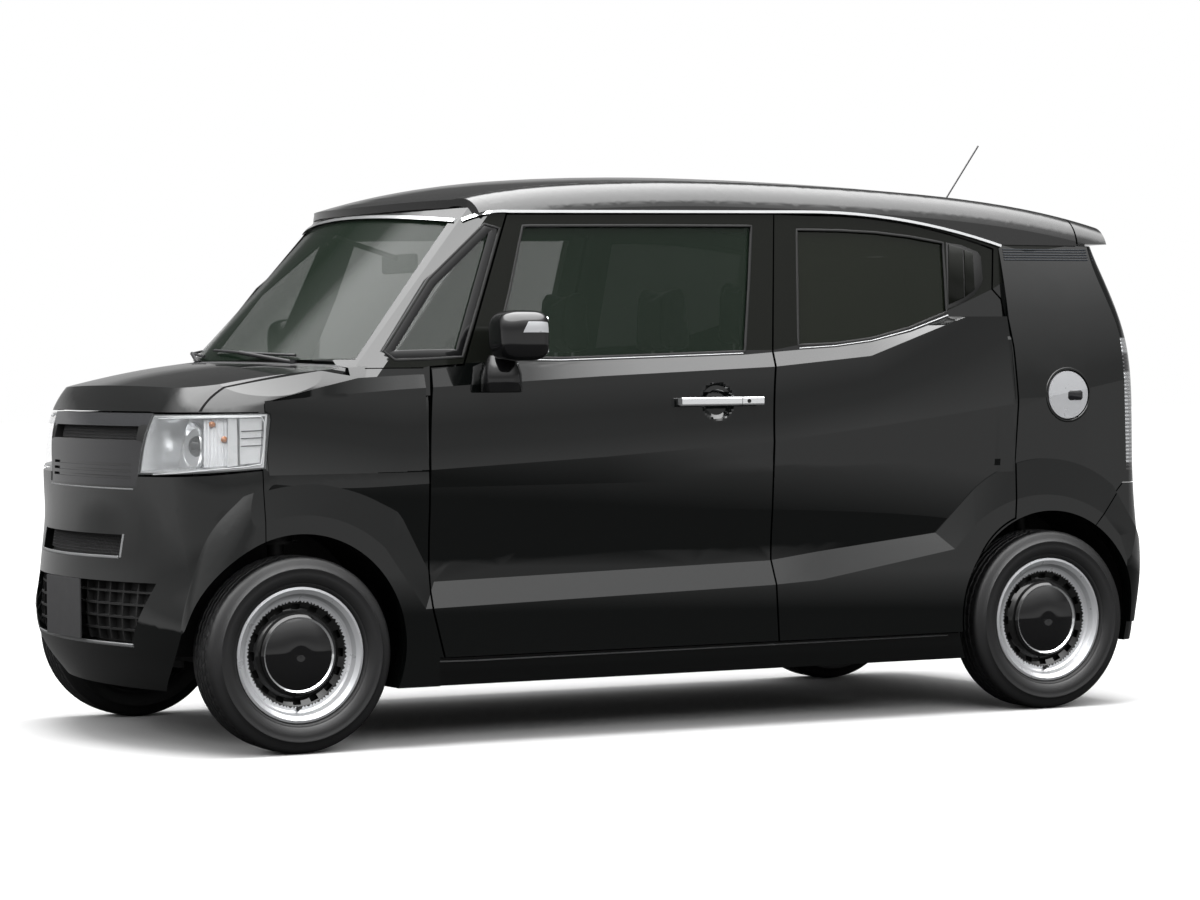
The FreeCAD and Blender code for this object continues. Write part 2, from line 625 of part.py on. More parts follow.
def rear_bumper_zone(inset=0.0):
    """Region of the rear bumper: below the tailgate and lamps, round to the rear arches."""
    points = [(-1545.0 - inset, 700.0 - inset), (-1800.0, 700.0 - inset), (-1800.0, 200.0),
              (-1380.0, 200.0), (-1380.0, 520.0), (-1440.0 - inset, 590.0 - inset)]
    zone = side_prism(points, -900.0, 900.0)
    gate = tail_gate_zone(0.0).common(box(-1800.0, -1300.0, -800.0, 800.0, 500.0, 760.0))
    return zone.cut(gate)


def wheel_side_keep():
    """Keeps the bumper's side wings solid next to the arches."""
    keep = box(-1560.0, -1200.0, 690.0, 900.0, 100.0, 760.0)
    return keep.fuse(mirrored(keep))


SPOILER_END_X = -1556.0


def spoiler_zone(inset=0.0):
    return box(-1800.0, GATE_TOP_X - inset, -900.0, 900.0, 1380.0, 1800.0)


def roof_plan():
    """The roof's outline from above: curved header and curved rear edge."""
    half = 900.0
    points = [(-1530.0, half), (560.0, half), (664.0, 565.0), (790.0, 0.0, 664.0, -565.0),
              (560.0, -half), (-1530.0, -half), (-1548.0, -560.0), (-1562.0, 0.0, -1548.0, 560.0)]
    return plan_prism(points, 1300.0, 1800.0)


def spoiler(roof_shape):
    """Rear end of the roof, carried by the tailgate."""
    cap = strip_prism()
    cap.translate(V(0, 0, GAP))
    return roof_shape.common(cap).common(roof_plan()).common(spoiler_zone(GAP / 2))


def moulding():
    """Bright strip along both roof edges and over the windscreen."""
    outer = greenhouse(0.0, ROOF_EDGE + 4.0).cut(greenhouse(6.0))
    ribbon = [(690.0, 1502.0), (635.0, 1521.0, 554.0, 1527.0), (-431.0, 1537.0),
              (-800.0, 1514.0, -1140.0, 1439.0), (-1144.0, 1446.0),
              (-800.0, 1522.0, -431.0, 1545.0), (554.0, 1535.0), (635.0, 1529.0, 690.0, 1511.0)]
    strip = outer.common(side_prism(ribbon, 500.0, 900.0))
    strip = strip.common(box(-1300.0, 690.0, 530.0, 800.0, 1400.0, 1600.0))
    header = front_prism([(560.0, 1502.0), (0.0, 1528.0, -560.0, 1502.0), (-560.0, 1511.0),
                          (0.0, 1537.0, 560.0, 1511.0)], 560.0, 1000.0)
    header = header.common(greenhouse(-4.0).cut(greenhouse(4.0)))
    strip = largest(strip)
    return header.fuse(strip).fuse(mirrored(strip))


# ---------------------------------------------------------------- front end
# x, z of a headlamp seen from the side
HEADLAMP = [(1800.0, 951.0), (1343.0, 957.0), (1340.0, 940.0), (1364.0, 802.0), (1800.0, 770.0)]
GRILLE_SHAPE = [(-358.0, 720.0), (358.0, 720.0), (414.0, 958.0), (-414.0, 958.0)]
BONNET_LOW_Z = 962.0
BUMPER_SPLIT_X = 1372.0
BUMPER_T = 30.0
LENS_T = 4.0
LAMP_DEPTH = 120.0


def bonnet_plan(inset):
    """Region of the bonnet seen from above."""
    points = [(1085.0, 668.0 - inset), (1300.0, 640.0 - inset, 1480.0, 602.0 - inset),
              (1700.0, 560.0 - inset), (1700.0, -560.0 + inset), (1480.0, -602.0 + inset),
              (1300.0, -640.0 + inset, 1085.0, -668.0 + inset)]
    return plan_prism(points, BONNET_LOW_Z, 1300.0)


def screen_gap(clearance=0.0):
    """Room in front of the windscreen, where the cowl lies."""
    return greenhouse(-26.0 - clearance).common(box(600.0, 1500.0, -800.0, 800.0, 1000.0, 1500.0))


def build_front(left, lower, frame):
    """Bonnet, cowl, lamps, wings, bumper and grilles; returns the bumper and the left wing."""
    shell = lower.common(box(BUMPER_SPLIT_X - 600.0, 1800.0, -900.0, 900.0, 100.0, 1200.0))
    bonnet = lower.common(bonnet_plan(GAP / 2)).cut(body(SKIN + 8.0).common(nose(24.0)))
    bonnet = bonnet.cut(screen_gap(4.0))
    save("bonnet", largest(bonnet))

    lamp_side = side_prism(HEADLAMP, -900.0, 900.0)
    lamp_side = lamp_side.cut(front_prism(GRILLE_SHAPE, 1200.0, 1800.0))
    lens_space = lower.common(lamp_side).cut(nose(LENS_T))
    lens = largest(lens_space.common(box(1000.0, 1800.0, 0.0, 900.0, 700.0, 1000.0)))
    save("headlamp_lenses", both(lens))
    tray = nose(LENS_T + 2.0).cut(nose(LAMP_DEPTH)).common(side_prism(
        [(1800.0, 948.0), (1347.0, 953.0), (1368.0, 806.0), (1800.0, 774.0)], 300.0, 900.0))
    tray = tray.cut(front_prism(offset_outline(GRILLE_SHAPE, 3.0), 1200.0, 1800.0))
    hollow = nose(0.0).cut(nose(LAMP_DEPTH - 6.0)).common(side_prism(
        [(1800.0, 944.0), (1353.0, 948.0), (1374.0, 811.0), (1800.0, 779.0)], 300.0, 900.0))
    hollow = hollow.cut(front_prism(offset_outline(GRILLE_SHAPE, 7.0), 1200.0, 1800.0))
    tray = tray.common(lower).cut(hollow)
    save("headlamp_housings", both(largest(tray)))

    wing = left.common(side_prism(WING, 400.0, 900.0)).cut(inner_of_wing())
    wing = wing.cut(lamp_side).cut(bonnet_plan(-GAP / 2))
    wing = wing.cut(greenhouse(-3.0).common(box(600.0, 1500.0, 0.0, 900.0, PILLAR_Z - 3.0, 1300.0)))
    wing = largest(wing.cut(box(800.0, FIREWALL_X, 0.0, FRAME_IN_Y, 100.0, 1300.0)))
    save_pair("front_wing", wing)

    cowl = lower.common(screen_gap()).common(box(900.0, 1400.0, -640.0, 640.0, 1040.0, 1200.0))
    cowl = cowl.cut(body(SKIN + 8.0)).cut(greenhouse(-1.0))
    for piece in (wing, frame):
        cowl = cowl.cut(piece).cut(mirrored(piece))
    wipers = [wiper(430.0, -60.0), wiper(-90.0, -560.0)]
    for piece in wipers:
        cowl = cowl.cut(piece)
    save("cowl_panel", largest(cowl))
    save("wipers", Part.makeCompound(wipers))

    front_half = left.common(box(BUMPER_SPLIT_X + GAP / 2, 1800.0, 400.0, 900.0, 100.0, 1000.0))
    skin = shell.fuse(front_half).fuse(mirrored(front_half))
    zone = side_prism([(BUMPER_SPLIT_X + GAP / 2, 170.0), (1800.0, 170.0), (1800.0, 766.0),
                       (1500.0, 784.0), (BUMPER_SPLIT_X + GAP / 2, 796.0)], -900.0, 900.0)
    inside = nose(BUMPER_T).common(box(1300.0, 1800.0, -660.0, 660.0, 90.0, 800.0))
    bumper = skin.common(zone).cut(inside)
    for cutter in ARCHES:
        bumper = bumper.cut(cutter).cut(mirrored(cutter))
    bumper = bumper.cut(front_prism(UPPER_SLOT, 1400.0, 1800.0))
    bumper = bumper.cut(front_prism(LOWER_INTAKE, 1400.0, 1800.0))
    bumper = bumper.cut(front_prism(GRILLE_SHAPE, 1400.0, 1800.0).common(
        box(1400.0, 1800.0, -500.0, 500.0, 750.0, 800.0)))
    bumper = largest(bumper)
    save("front_bumper", bumper)
    build_grilles()
    return bumper, wing


WING = [(868.0, 1300.0), (868.0, 1079.0), (868.0, 786.0), (867.0, 393.0), (851.0, 300.0),
        (851.0, 172.0), (BUMPER_SPLIT_X, 172.0), (BUMPER_SPLIT_X, 960.0), (1700.0, 960.0),
        (1700.0, 1300.0)]
PLATE_HALF = 145.0
UPPER_SLOT = [(-330.0, 612.0), (330.0, 612.0), (330.0, 552.0), (-330.0, 552.0)]
LOWER_INTAKE = [(-500.0, 480.0), (500.0, 480.0), (400.0, 306.0), (-400.0, 306.0)]


def inner_of_wing():
    space = body(SKIN).common(nose(SKIN + 6.0))
    return space.cut(box(1000.0, 860.0, -900.0, 900.0, 0.0, 1300.0))


def build_grilles():
    frame = nose(2.0).cut(nose(40.0)).common(
        front_prism(offset_outline(GRILLE_SHAPE, -1.0), 1300.0, 1800.0).common(
            box(1300.0, 1800.0, -500.0, 500.0, 750.0, BONNET_LOW_Z - 5.0)))
    slot = nose(-10.0).cut(nose(26.0)).common(
        box(1300.0, 1800.0, -350.0, 350.0, 880.0, 920.0))
    frame = frame.cut(slot)
    for z in (770.0, 788.0, 806.0):
        groove = nose(-10.0).cut(nose(10.0)).common(
            box(1300.0, 1800.0, -330.0, 330.0, z, z + 8.0))
        frame = frame.cut(groove)
    save("grille", largest(frame))
    grid = None
    for z in (340.0, 376.0, 412.0, 448.0):
        bar = box(1500.0, 1800.0, -470.0, 470.0, z, z + 6.0)
        grid = bar if grid is None else grid.fuse(bar)
    for step in range(-6, 7):
        y = 68.0 * step
        grid = grid.fuse(box(1500.0, 1800.0, y - 3.0, y + 3.0, 312.0, 476.0))
    trapeze = front_prism(offset_outline(LOWER_INTAKE, -0.3), 1500.0, 1800.0)
    bars = grid.common(trapeze).common(nose(14.0).cut(nose(36.0)))
    back = nose(34.0).cut(nose(40.0)).common(trapeze)
    bars = bars.fuse(back).fuse(box(FRONT_X - 40.0, FRONT_X - 4.0, -80.0, 80.0, 372.0, 416.0))
    slot_back = nose(BUMPER_T + 0.3).cut(nose(BUMPER_T + 7.0))
    slot_back = slot_back.common(box(1300.0, 1800.0, -340.0, 340.0, 545.0, 619.0))
    save("bumper_grilles", Part.makeCompound([largest(bars), largest(slot_back)]))
    front_plate = box(FRONT_X - 4.0, FRONT_X, -PLATE_HALF, PLATE_HALF, 308.0, 480.0)
    rear_plate = box(REAR_X + 28.0, REAR_X + 32.0, -PLATE_HALF, PLATE_HALF, 655.0, 820.0)
    bracket = box(REAR_X + 32.0, REAR_X + 70.0, -110.0, 110.0, 680.0, 800.0)
    rear_plate = rear_plate.fuse(bracket).cut(tail())
    save("front_plate", front_plate)
    save("rear_plate", largest(rear_plate))


# ---------------------------------------------------------------- fittings on the body
# x, inset, corner radius: sections of a mirror housing from its glass to its front
MIRROR_SECTIONS = [(538.0, 6.0, 30.0), (560.0, 0.0, 34.0), (620.0, 2.0, 38.0), (665.0, 16.0, 40.0),
                   (696.0, 44.0, 26.0)]
MIRROR_Y, MIRROR_Z = 827.0, 1168.0
MIRROR_HALF_Y, MIRROR_HALF_Z = 78.0, 73.0


def rounded_rectangle(y, z, half_y, half_z, radius):
    """Outline rows of a rectangle with round corners."""
    turn = radius * (1.0 - math.sqrt(0.5))
    rows = []
    for sy, sz in ((1.0, 1.0), (-1.0, 1.0), (-1.0, -1.0), (1.0, -1.0)):
        across = (y + sy * (half_y - radius), z + sz * half_z)
        along = (y + sy * half_y, z + sz * (half_z - radius))
        middle = (y + sy * (half_y - turn), z + sz * (half_z - turn))
        first, last = (along, across) if sy * sz > 0 else (across, along)
        rows.append(first)
        rows.append(middle + last)
    return rows


def build_fittings(front_door, roof):
    wires = []
    for x, inset, radius in MIRROR_SECTIONS:
        rows = rounded_rectangle(MIRROR_Y, MIRROR_Z, MIRROR_HALF_Y - inset, MIRROR_HALF_Z - inset,
                                 radius)
        wires.append(outline(rows, lambda y, z: V(x, y, z)))
    housing = Part.makeLoft(wires, True, False)
    pocket = rounded_rectangle(MIRROR_Y, MIRROR_Z, MIRROR_HALF_Y - 16.0, MIRROR_HALF_Z - 16.0, 22.0)
    housing = housing.cut(front_prism(pocket, 530.0, 550.0))
    foot = side_prism([(578.0, 1008.0), (690.0, 1008.0), (690.0, 1085.0), (660.0, 1110.0),
                       (590.0, 1110.0), (575.0, 1085.0)], 690.0, 790.0)
    save_pair("door_mirror", largest(housing.fuse(foot).cut(front_door)))
    bar = box(-222.0, 56.0, 730.0, 747.0, HANDLE_Z - 13.0, HANDLE_Z + 13.0)
    bar = bar.makeFillet(6.0, [e for e in bar.Edges if e.BoundBox.XLength > 200.0])
    for x in (-218.0, 26.0):
        bar = bar.fuse(box(x, x + 26.0, 680.0, 736.0, HANDLE_Z - 10.0, HANDLE_Z + 10.0))
    save_pair("front_door_handle", largest(bar.cut(front_door)))
    base = Part.makeCone(18.0, 9.0, 26.0, V(-1322.0, 0.0, 1566.0), V(-0.15, 0, 1))
    mast = rod(V(-1326.0, 0.0, 1586.0), V(-1479.0, 0.0, 1796.0), 2.6)
    save("antenna", largest(base.fuse(mast).cut(roof)))


def wiper(pivot_y, tip_y):
    """One arm with its blade, resting at the foot of the windscreen."""
    pivot = screen_point(pivot_y, 1098.0, 10.0)
    middle = screen_point(0.45 * pivot_y + 0.55 * tip_y, 1128.0, 14.0)
    arm = rod(pivot, middle, 6.0)
    low, high = screen_point(pivot_y - 20.0, 1118.0, 6.0), screen_point(tip_y, 1136.0, 6.0)
    blade = rod(low, middle, 4.0).fuse(rod(middle, high, 4.0))
    spindle = rod(pivot - V(0, 0, 30.0), pivot + V(0, 0, 8.0), 10.0)
    return arm.fuse(blade).fuse(spindle)


def screen_point(y, z, stand_off):
    """A point in front of the windscreen's outer face."""
    (z0, mid0, end0, y0), (z1, mid1, end1, y1) = SCREEN
    share = (z - z0) / (z1 - z0)
    mid, end, half = [a + share * (b - a) for a, b in ((mid0, mid1), (end0, end1), (y0, y1))]
    return V(mid - (mid - end) * (y / half) ** 2 + 1.4 * stand_off, y, z)


# ---------------------------------------------------------------- floor and underbody
KINGPIN_TOP = V(FRONT_AXLE, 525.0, 800.0)
KINGPIN_LOW = V(FRONT_AXLE, 590.0, 185.0)
KINGPIN_AXIS = (KINGPIN_TOP - KINGPIN_LOW).normalize()
STRUT_BALL = KINGPIN_TOP - KINGPIN_AXIS * 40.0
STRUT_BALL_R = 15.0
TOWER_R = 72.0
ARM_BALL_R = 12.0
ARM_TOP_Z = 192.0
BEAM_AHEAD = 170.0          # the rear beam lies this far ahead of the wheels' middle
BEAM_Z = 262.0
BEAM_R = 30.0
REAR_FLOOR_Z = 452.0
KICK_X = -880.0
LINER_R = ARCH_R + 17.0
LINER_IN_Y = 398.0
LINER_OUT_Y = 684.0


def wheel_liner(x):
    """Open drum over one left wheel, closed towards the car's middle."""
    outer = tube_y(x, ARCH_Z, LINER_R + LINER_T, LINER_IN_Y - LINER_T, LINER_OUT_Y)
    inner = tube_y(x, ARCH_Z, LINER_R, LINER_IN_Y, LINER_OUT_Y + 1.0)
    return outer.cut(inner).common(box(x - 400.0, x + 400.0, 0.0, 700.0, 262.0, 700.0))


def build_floor(across_pieces, side_pieces):
    """Floor, firewall, wheel liners and strut towers, trimmed where the body's pieces stand."""
    half = FRAME_IN_Y - 0.5
    floor = box(KICK_X, FIREWALL_X, -half, half, FLOOR_Z - FLOOR_T, FLOOR_Z - 0.5)
    floor = floor.fuse(box(KICK_X - 20.0, KICK_X, -half, half, FLOOR_Z - FLOOR_T, REAR_FLOOR_Z))
    floor = floor.fuse(box(-1590.0, KICK_X, -half, half, REAR_FLOOR_Z - 20.0, REAR_FLOOR_Z))
    floor = floor.fuse(box(FIREWALL_X - 18.0, FIREWALL_X, -half, half, FLOOR_Z - FLOOR_T, 1040.0))
    for x in (FRONT_AXLE, REAR_AXLE):
        hole = tube_y(x, ARCH_Z, LINER_R + 1.0, LINER_IN_Y, 900.0)
        floor = floor.cut(hole).cut(mirrored(hole))
        liner = wheel_liner(x)
        floor = floor.fuse(liner).fuse(mirrored(liner))
    for y in (330.0, -330.0):
        floor = floor.fuse(box(FIREWALL_X - 10.0, 1560.0, y - 30.0, y + 30.0, 262.0, 330.0))
    floor = floor.fuse(box(1520.0, 1560.0, -400.0, 400.0, 300.0, 380.0))
    floor = floor.fuse(box(1520.0, 1545.0, -400.0, 400.0, 380.0, 740.0))
    tower = strut_space(TOWER_R + LINER_T, 100.0, STRUT_BALL_R + LINER_T)
    well = strut_space(TOWER_R, 200.0, STRUT_BALL_R + 0.3)
    floor = floor.fuse(tower).fuse(mirrored(tower)).cut(well).cut(mirrored(well))
    beam_x = REAR_AXLE + BEAM_AHEAD
    slot_r = BEAM_R + GAP
    floor = floor.cut(tube_y(beam_x, BEAM_Z, slot_r, -560.0, 560.0))
    floor = floor.cut(box(beam_x - slot_r, beam_x + slot_r, -560.0, 560.0, 200.0, BEAM_Z))
    doorway = grown(REAR_DOOR, GAP).common(box(-1300.0, 0.0, SEAL_IN_Y, 900.0, 100.0, 900.0))
    floor = floor.cut(doorway).cut(mirrored(doorway))
    for piece in across_pieces:
        floor = floor.cut(piece)
    for piece in side_pieces:
        floor = floor.cut(piece).cut(mirrored(piece))
    save("floor_pan", largest(floor))


def strut_space(radius, below, above):
    """Round space about the left kingpin axis, from below its upper ball to above it."""
    return rod(STRUT_BALL - KINGPIN_AXIS * below, STRUT_BALL + KINGPIN_AXIS * above, radius)


# ---------------------------------------------------------------- cabin pieces
SEAT_Y = 330.0
FRONT_SEAT_X = -60.0
REAR_SEAT_X = -700.0
SEAT_HALF = 250.0
DRIVER_Y = -330.0
WHEEL_AT = V(585.0, DRIVER_Y, 905.0)
COLUMN_TILT = 27.0


def seat(x, y, base_z, back_top, head_top, half):
    """Cushion, backrest and headrest as one closed shape, resting on its base."""
    cushion = side_prism([(x + 40.0, base_z), (x + 470.0, base_z), (x + 500.0, base_z + 60.0),
                          (x + 480.0, base_z + 130.0), (x + 20.0, base_z + 110.0)], y - half, y + half)
    back = side_prism([(x + 60.0, base_z + 30.0), (x + 75.0, base_z + 140.0), (x - 20.0, back_top),
                       (x - 100.0, back_top - 6.0), (x - 60.0, base_z + 60.0)],
                      y - half, y + half)
    head = side_prism([(x + 5.0, back_top + 16.0), (x - 10.0, head_top - 20.0),
                       (x - 40.0, head_top, x - 78.0, head_top - 20.0),
                       (x - 95.0, back_top + 24.0)], y - 130.0, y + 130.0)
    posts = rod(V(x - 45.0, y - 60.0, back_top - 30.0), V(x - 45.0, y - 60.0, back_top + 40.0), 6.0)
    posts = posts.fuse(rod(V(x - 45.0, y + 60.0, back_top - 30.0),
                           V(x - 45.0, y + 60.0, back_top + 40.0), 6.0))
    base = box(x + 60.0, x + 420.0, y - half + 60.0, y + half - 60.0, FLOOR_Z, base_z + 4.0)
    return cushion.fuse(back).fuse(head).fuse(posts).fuse(base)


def build_cabin():
    front = [seat(FRONT_SEAT_X, y, 430.0, 1096.0, 1335.0, SEAT_HALF) for y in (SEAT_Y, -SEAT_Y)]
    save("front_seats", Part.makeCompound(front))
    rear = [seat(REAR_SEAT_X, y, 462.0, 1120.0, 1372.0, SEAT_HALF + 20.0)
            for y in (SEAT_Y - 40.0, -SEAT_Y + 40.0)]
    save("rear_seat", Part.makeCompound(rear))
    dash = side_prism([(FIREWALL_X - 20.0, 640.0), (FIREWALL_X - 20.0, 1036.0),
                       (900.0, 1060.0, 760.0, 1010.0), (720.0, 980.0), (700.0, 860.0),
                       (770.0, 760.0), (800.0, 640.0)], -FRAME_IN_Y + 6.0, FRAME_IN_Y - 6.0)
    save("dashboard", dash)
    tilt = math.radians(COLUMN_TILT)
    axis = V(-math.cos(tilt), 0, math.sin(tilt))
    ring = Part.makeTorus(180.0, 14.0, WHEEL_AT, axis)
    hub = Part.makeCylinder(62.0, 46.0, WHEEL_AT - axis * 34.0, axis)
    wheel = ring.fuse(hub)
    across = V(0, 1, 0)
    down = axis.cross(across)
    for direction in (across, across * -1.0, down):
        start = WHEEL_AT - axis * 12.0 + direction * 40.0
        wheel = wheel.fuse(rod(start, WHEEL_AT - axis * 4.0 + direction * 176.0, 11.0))
    wheel = wheel.fuse(rod(WHEEL_AT - axis * 70.0, WHEEL_AT - axis * 30.0, 22.0))
    save("steering_wheel", largest(wheel))
    column = rod(WHEEL_AT - axis * 70.3, WHEEL_AT - axis * 190.0, 34.0).cut(dash)
    save("steering_column", largest(column))
    mirror = box(612.0, 636.0, -115.0, 115.0, 1366.0, 1424.0)
    mirror = mirror.makeFillet(10.0, mirror.Edges)
    screen = greenhouse(6.0 + GLASS_T + 0.2)
    stem = rod(V(625.0, 0.0, 1410.0), V(850.0, 0.0, 1478.0), 8.0).common(screen)
    save("inner_mirror", mirror.fuse(stem))


# ---------------------------------------------------------------- running gear
RIM_LIP_R = 191.0
CAP_R = 110.0
SLOT_COUNT = 16
WHEEL_Y = TRACK / 2
BORE_R = 30.0
SPIGOT_R = BORE_R - 0.3
SPIGOT_END = 39.5           # offset of the hubs' ends, just short of the cap
# radius, offset outboard of the wheel's middle plane: section of the rim and disc
RIM_SECTION = [
    (RIM_LIP_R, 60.0), (RIM_LIP_R, 56.0), (182.0, 53.0), (RIM_R, 50.0), (RIM_R, 34.0),
    (158.0, 26.0), (158.0, -14.0), (RIM_R, -30.0), (RIM_R, -52.0), (188.0, -57.0), (184.0, -60.0),
    (172.0, -54.0), (172.0, -34.0), (153.0, -18.0), (153.0, 18.0), (148.0, 26.0), (126.0, 18.0),
    (112.0, 30.0), (60.0, 30.0), (BORE_R, 34.0), (BORE_R, 42.0), (104.0, 38.0), (118.0, 36.0),
    (130.0, 25.0), (146.0, 33.0), (158.0, 36.0), (164.0, 40.0), (172.0, 54.0), (184.0, 62.0),
]


def revolved(section, y_middle, x, z):
    """Turns a (radius, offset) section about the wheel's spin axis."""
    wire = outline(section, lambda r, w: V(x + r, y_middle + w, z))
    return Part.Face(wire).revolve(V(x, y_middle, z), V(0, 1, 0), 360.0)


def rim(x):
    shape = revolved(RIM_SECTION, WHEEL_Y, x, HUB_Z)
    for step in range(SLOT_COUNT):
        angle = 2.0 * math.pi * step / SLOT_COUNT
        slot = box(x - 12.0, x + 12.0, WHEEL_Y, WHEEL_Y + 60.0, HUB_Z + 127.0, HUB_Z + 142.0)
        slot.rotate(V(x, WHEEL_Y, HUB_Z), V(0, 1, 0), math.degrees(angle))
        shape = shape.cut(slot)
    cap = revolved([(0.5, 40.0), (CAP_R, 40.0), (CAP_R + 3.0, 45.0), (CAP_R - 4.0, 50.0),
                    (CAP_R - 9.0, 46.0), (60.0, 58.0, 0.5, 60.0)], WHEEL_Y, x, HUB_Z)
    middle = tube_y(x, HUB_Z, 3.0, WHEEL_Y + 40.0, WHEEL_Y + 59.8)
    return shape.fuse(cap).fuse(middle)


HALF_TREAD = TYRE_W / 2
# radius, offset: section of the tyre, hollow inside
TYRE_SECTION = [
    (RIM_R + 0.3, 50.0), (RIM_R + 14.0, 54.5), (196.0, 66.0), (225.0, HALF_TREAD + 0.5, 255.0, 71.0),
    (272.0, 66.0, TYRE_R - 1.0, 52.0), (TYRE_R, 0.0, TYRE_R - 1.0, -52.0),
    (272.0, -66.0, 255.0, -71.0), (225.0, -HALF_TREAD - 0.5, 196.0, -66.0), (RIM_R + 10.0, -54.0),
    (RIM_R + 0.3, -50.0), (RIM_R + 0.3, -36.0), (190.0, -40.0), (225.0, -66.0, 252.0, -58.0),
    (266.0, 0.0, 252.0, 58.0), (225.0, 66.0, 190.0, 40.0), (RIM_R + 0.3, 36.0),
]


def knuckle():
    """Front upright with its hub and strut."""
    x = FRONT_AXLE
    hub = tube_y(x, HUB_Z, 42.0, 560.0, WHEEL_Y + 27.0)
    flange = tube_y(x, HUB_Z, 66.0, WHEEL_Y + 18.0, WHEEL_Y + 28.0)
    disc = tube_y(x, HUB_Z, 112.0, WHEEL_Y - 22.0, WHEEL_Y - 4.0)
    upright = side_prism([(x - 45.0, 200.0), (x + 45.0, 200.0), (x + 60.0, 290.0),
                          (x + 28.0, 380.0), (x - 28.0, 380.0), (x - 60.0, 290.0)], 556.0, 588.0)
    strut_low = V(x, 541.0, 330.0)
    way = STRUT_BALL - strut_low
    damper = rod(strut_low, strut_low + way * 0.6, 25.0)
    piston = rod(strut_low + way * 0.5, STRUT_BALL, 11.0)
    piston = piston.fuse(Part.makeSphere(STRUT_BALL_R, STRUT_BALL))
    arm_ball_z = ARM_TOP_Z + ARM_BALL_R + 0.3
    arm_ball = KINGPIN_LOW + KINGPIN_AXIS * ((arm_ball_z - KINGPIN_LOW.z) / KINGPIN_AXIS.z)
    piston = piston.fuse(Part.makeSphere(ARM_BALL_R, arm_ball))
    spigot = tube_y(x, HUB_Z, SPIGOT_R, WHEEL_Y, WHEEL_Y + SPIGOT_END)
    spring_seat = Part.makeCylinder(62.0, 8.0, strut_low + way * 0.585, way)
    cushion = Part.makeCylinder(50.0, 120.0, strut_low + way * 0.6, way)
    lug = box(x - 24.0, x + 24.0, 545.0, 570.0, 300.0, 400.0)
    shape = hub
    for piece in (flange, spigot, disc, upright, lug, damper, piston, spring_seat, cushion):
        shape = shape.fuse(piece)
    return shape


def subframe():
    """Front cross-member with both lower arms, and their ball joint plates."""
    x = FRONT_AXLE
    beam = box(x - 150.0, x - 20.0, -330.0, 330.0, 196.0, 258.0)
    arms = None
    for side in (1.0, -1.0):
        arm = plan_prism([(x - 140.0, side * 320.0), (x - 40.0, side * 320.0),
                          (x + 18.0, side * 540.0), (x + 14.0, side * 600.0),
                          (x - 14.0, side * 600.0), (x - 22.0, side * 572.0)],
                         168.0, ARM_TOP_Z)
        pad = box(x - 140.0, x - 40.0, side * 300.0, side * 330.0, 168.0, 200.0)
        arm = arm.fuse(pad)
        arms = arm if arms is None else arms.fuse(arm)
    leg_top = FLOOR_Z - FLOOR_T - 0.3
    for side in (1.0, -1.0):
        leg_in, leg_out = side * 280.0, side * 330.0
        beam = beam.fuse(box(x - 190.0, x - 150.0, leg_in, leg_out, 200.0, leg_top))
    return beam.fuse(arms)


def rear_axle():
    """Twist beam with trailing arms, hub stubs and dampers."""
    x = REAR_AXLE
    shape = tube_y(x + BEAM_AHEAD, BEAM_Z, BEAM_R, -500.0, 500.0)
    bush_r = 34.0
    bush_z = FLOOR_Z - FLOOR_T - 0.3 - bush_r
    under_liner = tube_y(x, ARCH_Z, LINER_R - 0.3, -700.0, 700.0)
    for side in (1.0, -1.0):
        arm = rod(V(x + 400.0, side * 500.0, bush_z), V(x - 20.0, side * 520.0, HUB_Z), 24.0)
        bush = tube_y(x + 400.0, bush_z, bush_r, min(side * 470.0, side * 530.0),
                      max(side * 470.0, side * 530.0))
        stub = tube_y(x, HUB_Z, 40.0, min(side * 500.0, side * (WHEEL_Y + 27.0)),
                      max(side * 500.0, side * (WHEEL_Y + 27.0)))
        drum = tube_y(x, HUB_Z, 105.0, min(side * (WHEEL_Y - 45.0), side * (WHEEL_Y + 8.0)),
                      max(side * (WHEEL_Y - 45.0), side * (WHEEL_Y + 8.0)))
        damper = rod(V(x - 70.0, side * 500.0, HUB_Z - 20.0), V(x - 60.0, side * 455.0, 700.0), 21.0)
        damper = damper.common(under_liner)
        spigot = tube_y(x, HUB_Z, SPIGOT_R, min(side * WHEEL_Y, side * (WHEEL_Y + SPIGOT_END)),
                        max(side * WHEEL_Y, side * (WHEEL_Y + SPIGOT_END)))
        lug = rod(V(x - 70.0, side * 500.0, HUB_Z - 20.0), V(x, side * 510.0, HUB_Z), 22.0)
        for piece in (arm, bush, stub, spigot, drum, damper, lug):
            shape = shape.fuse(piece)
    return shape


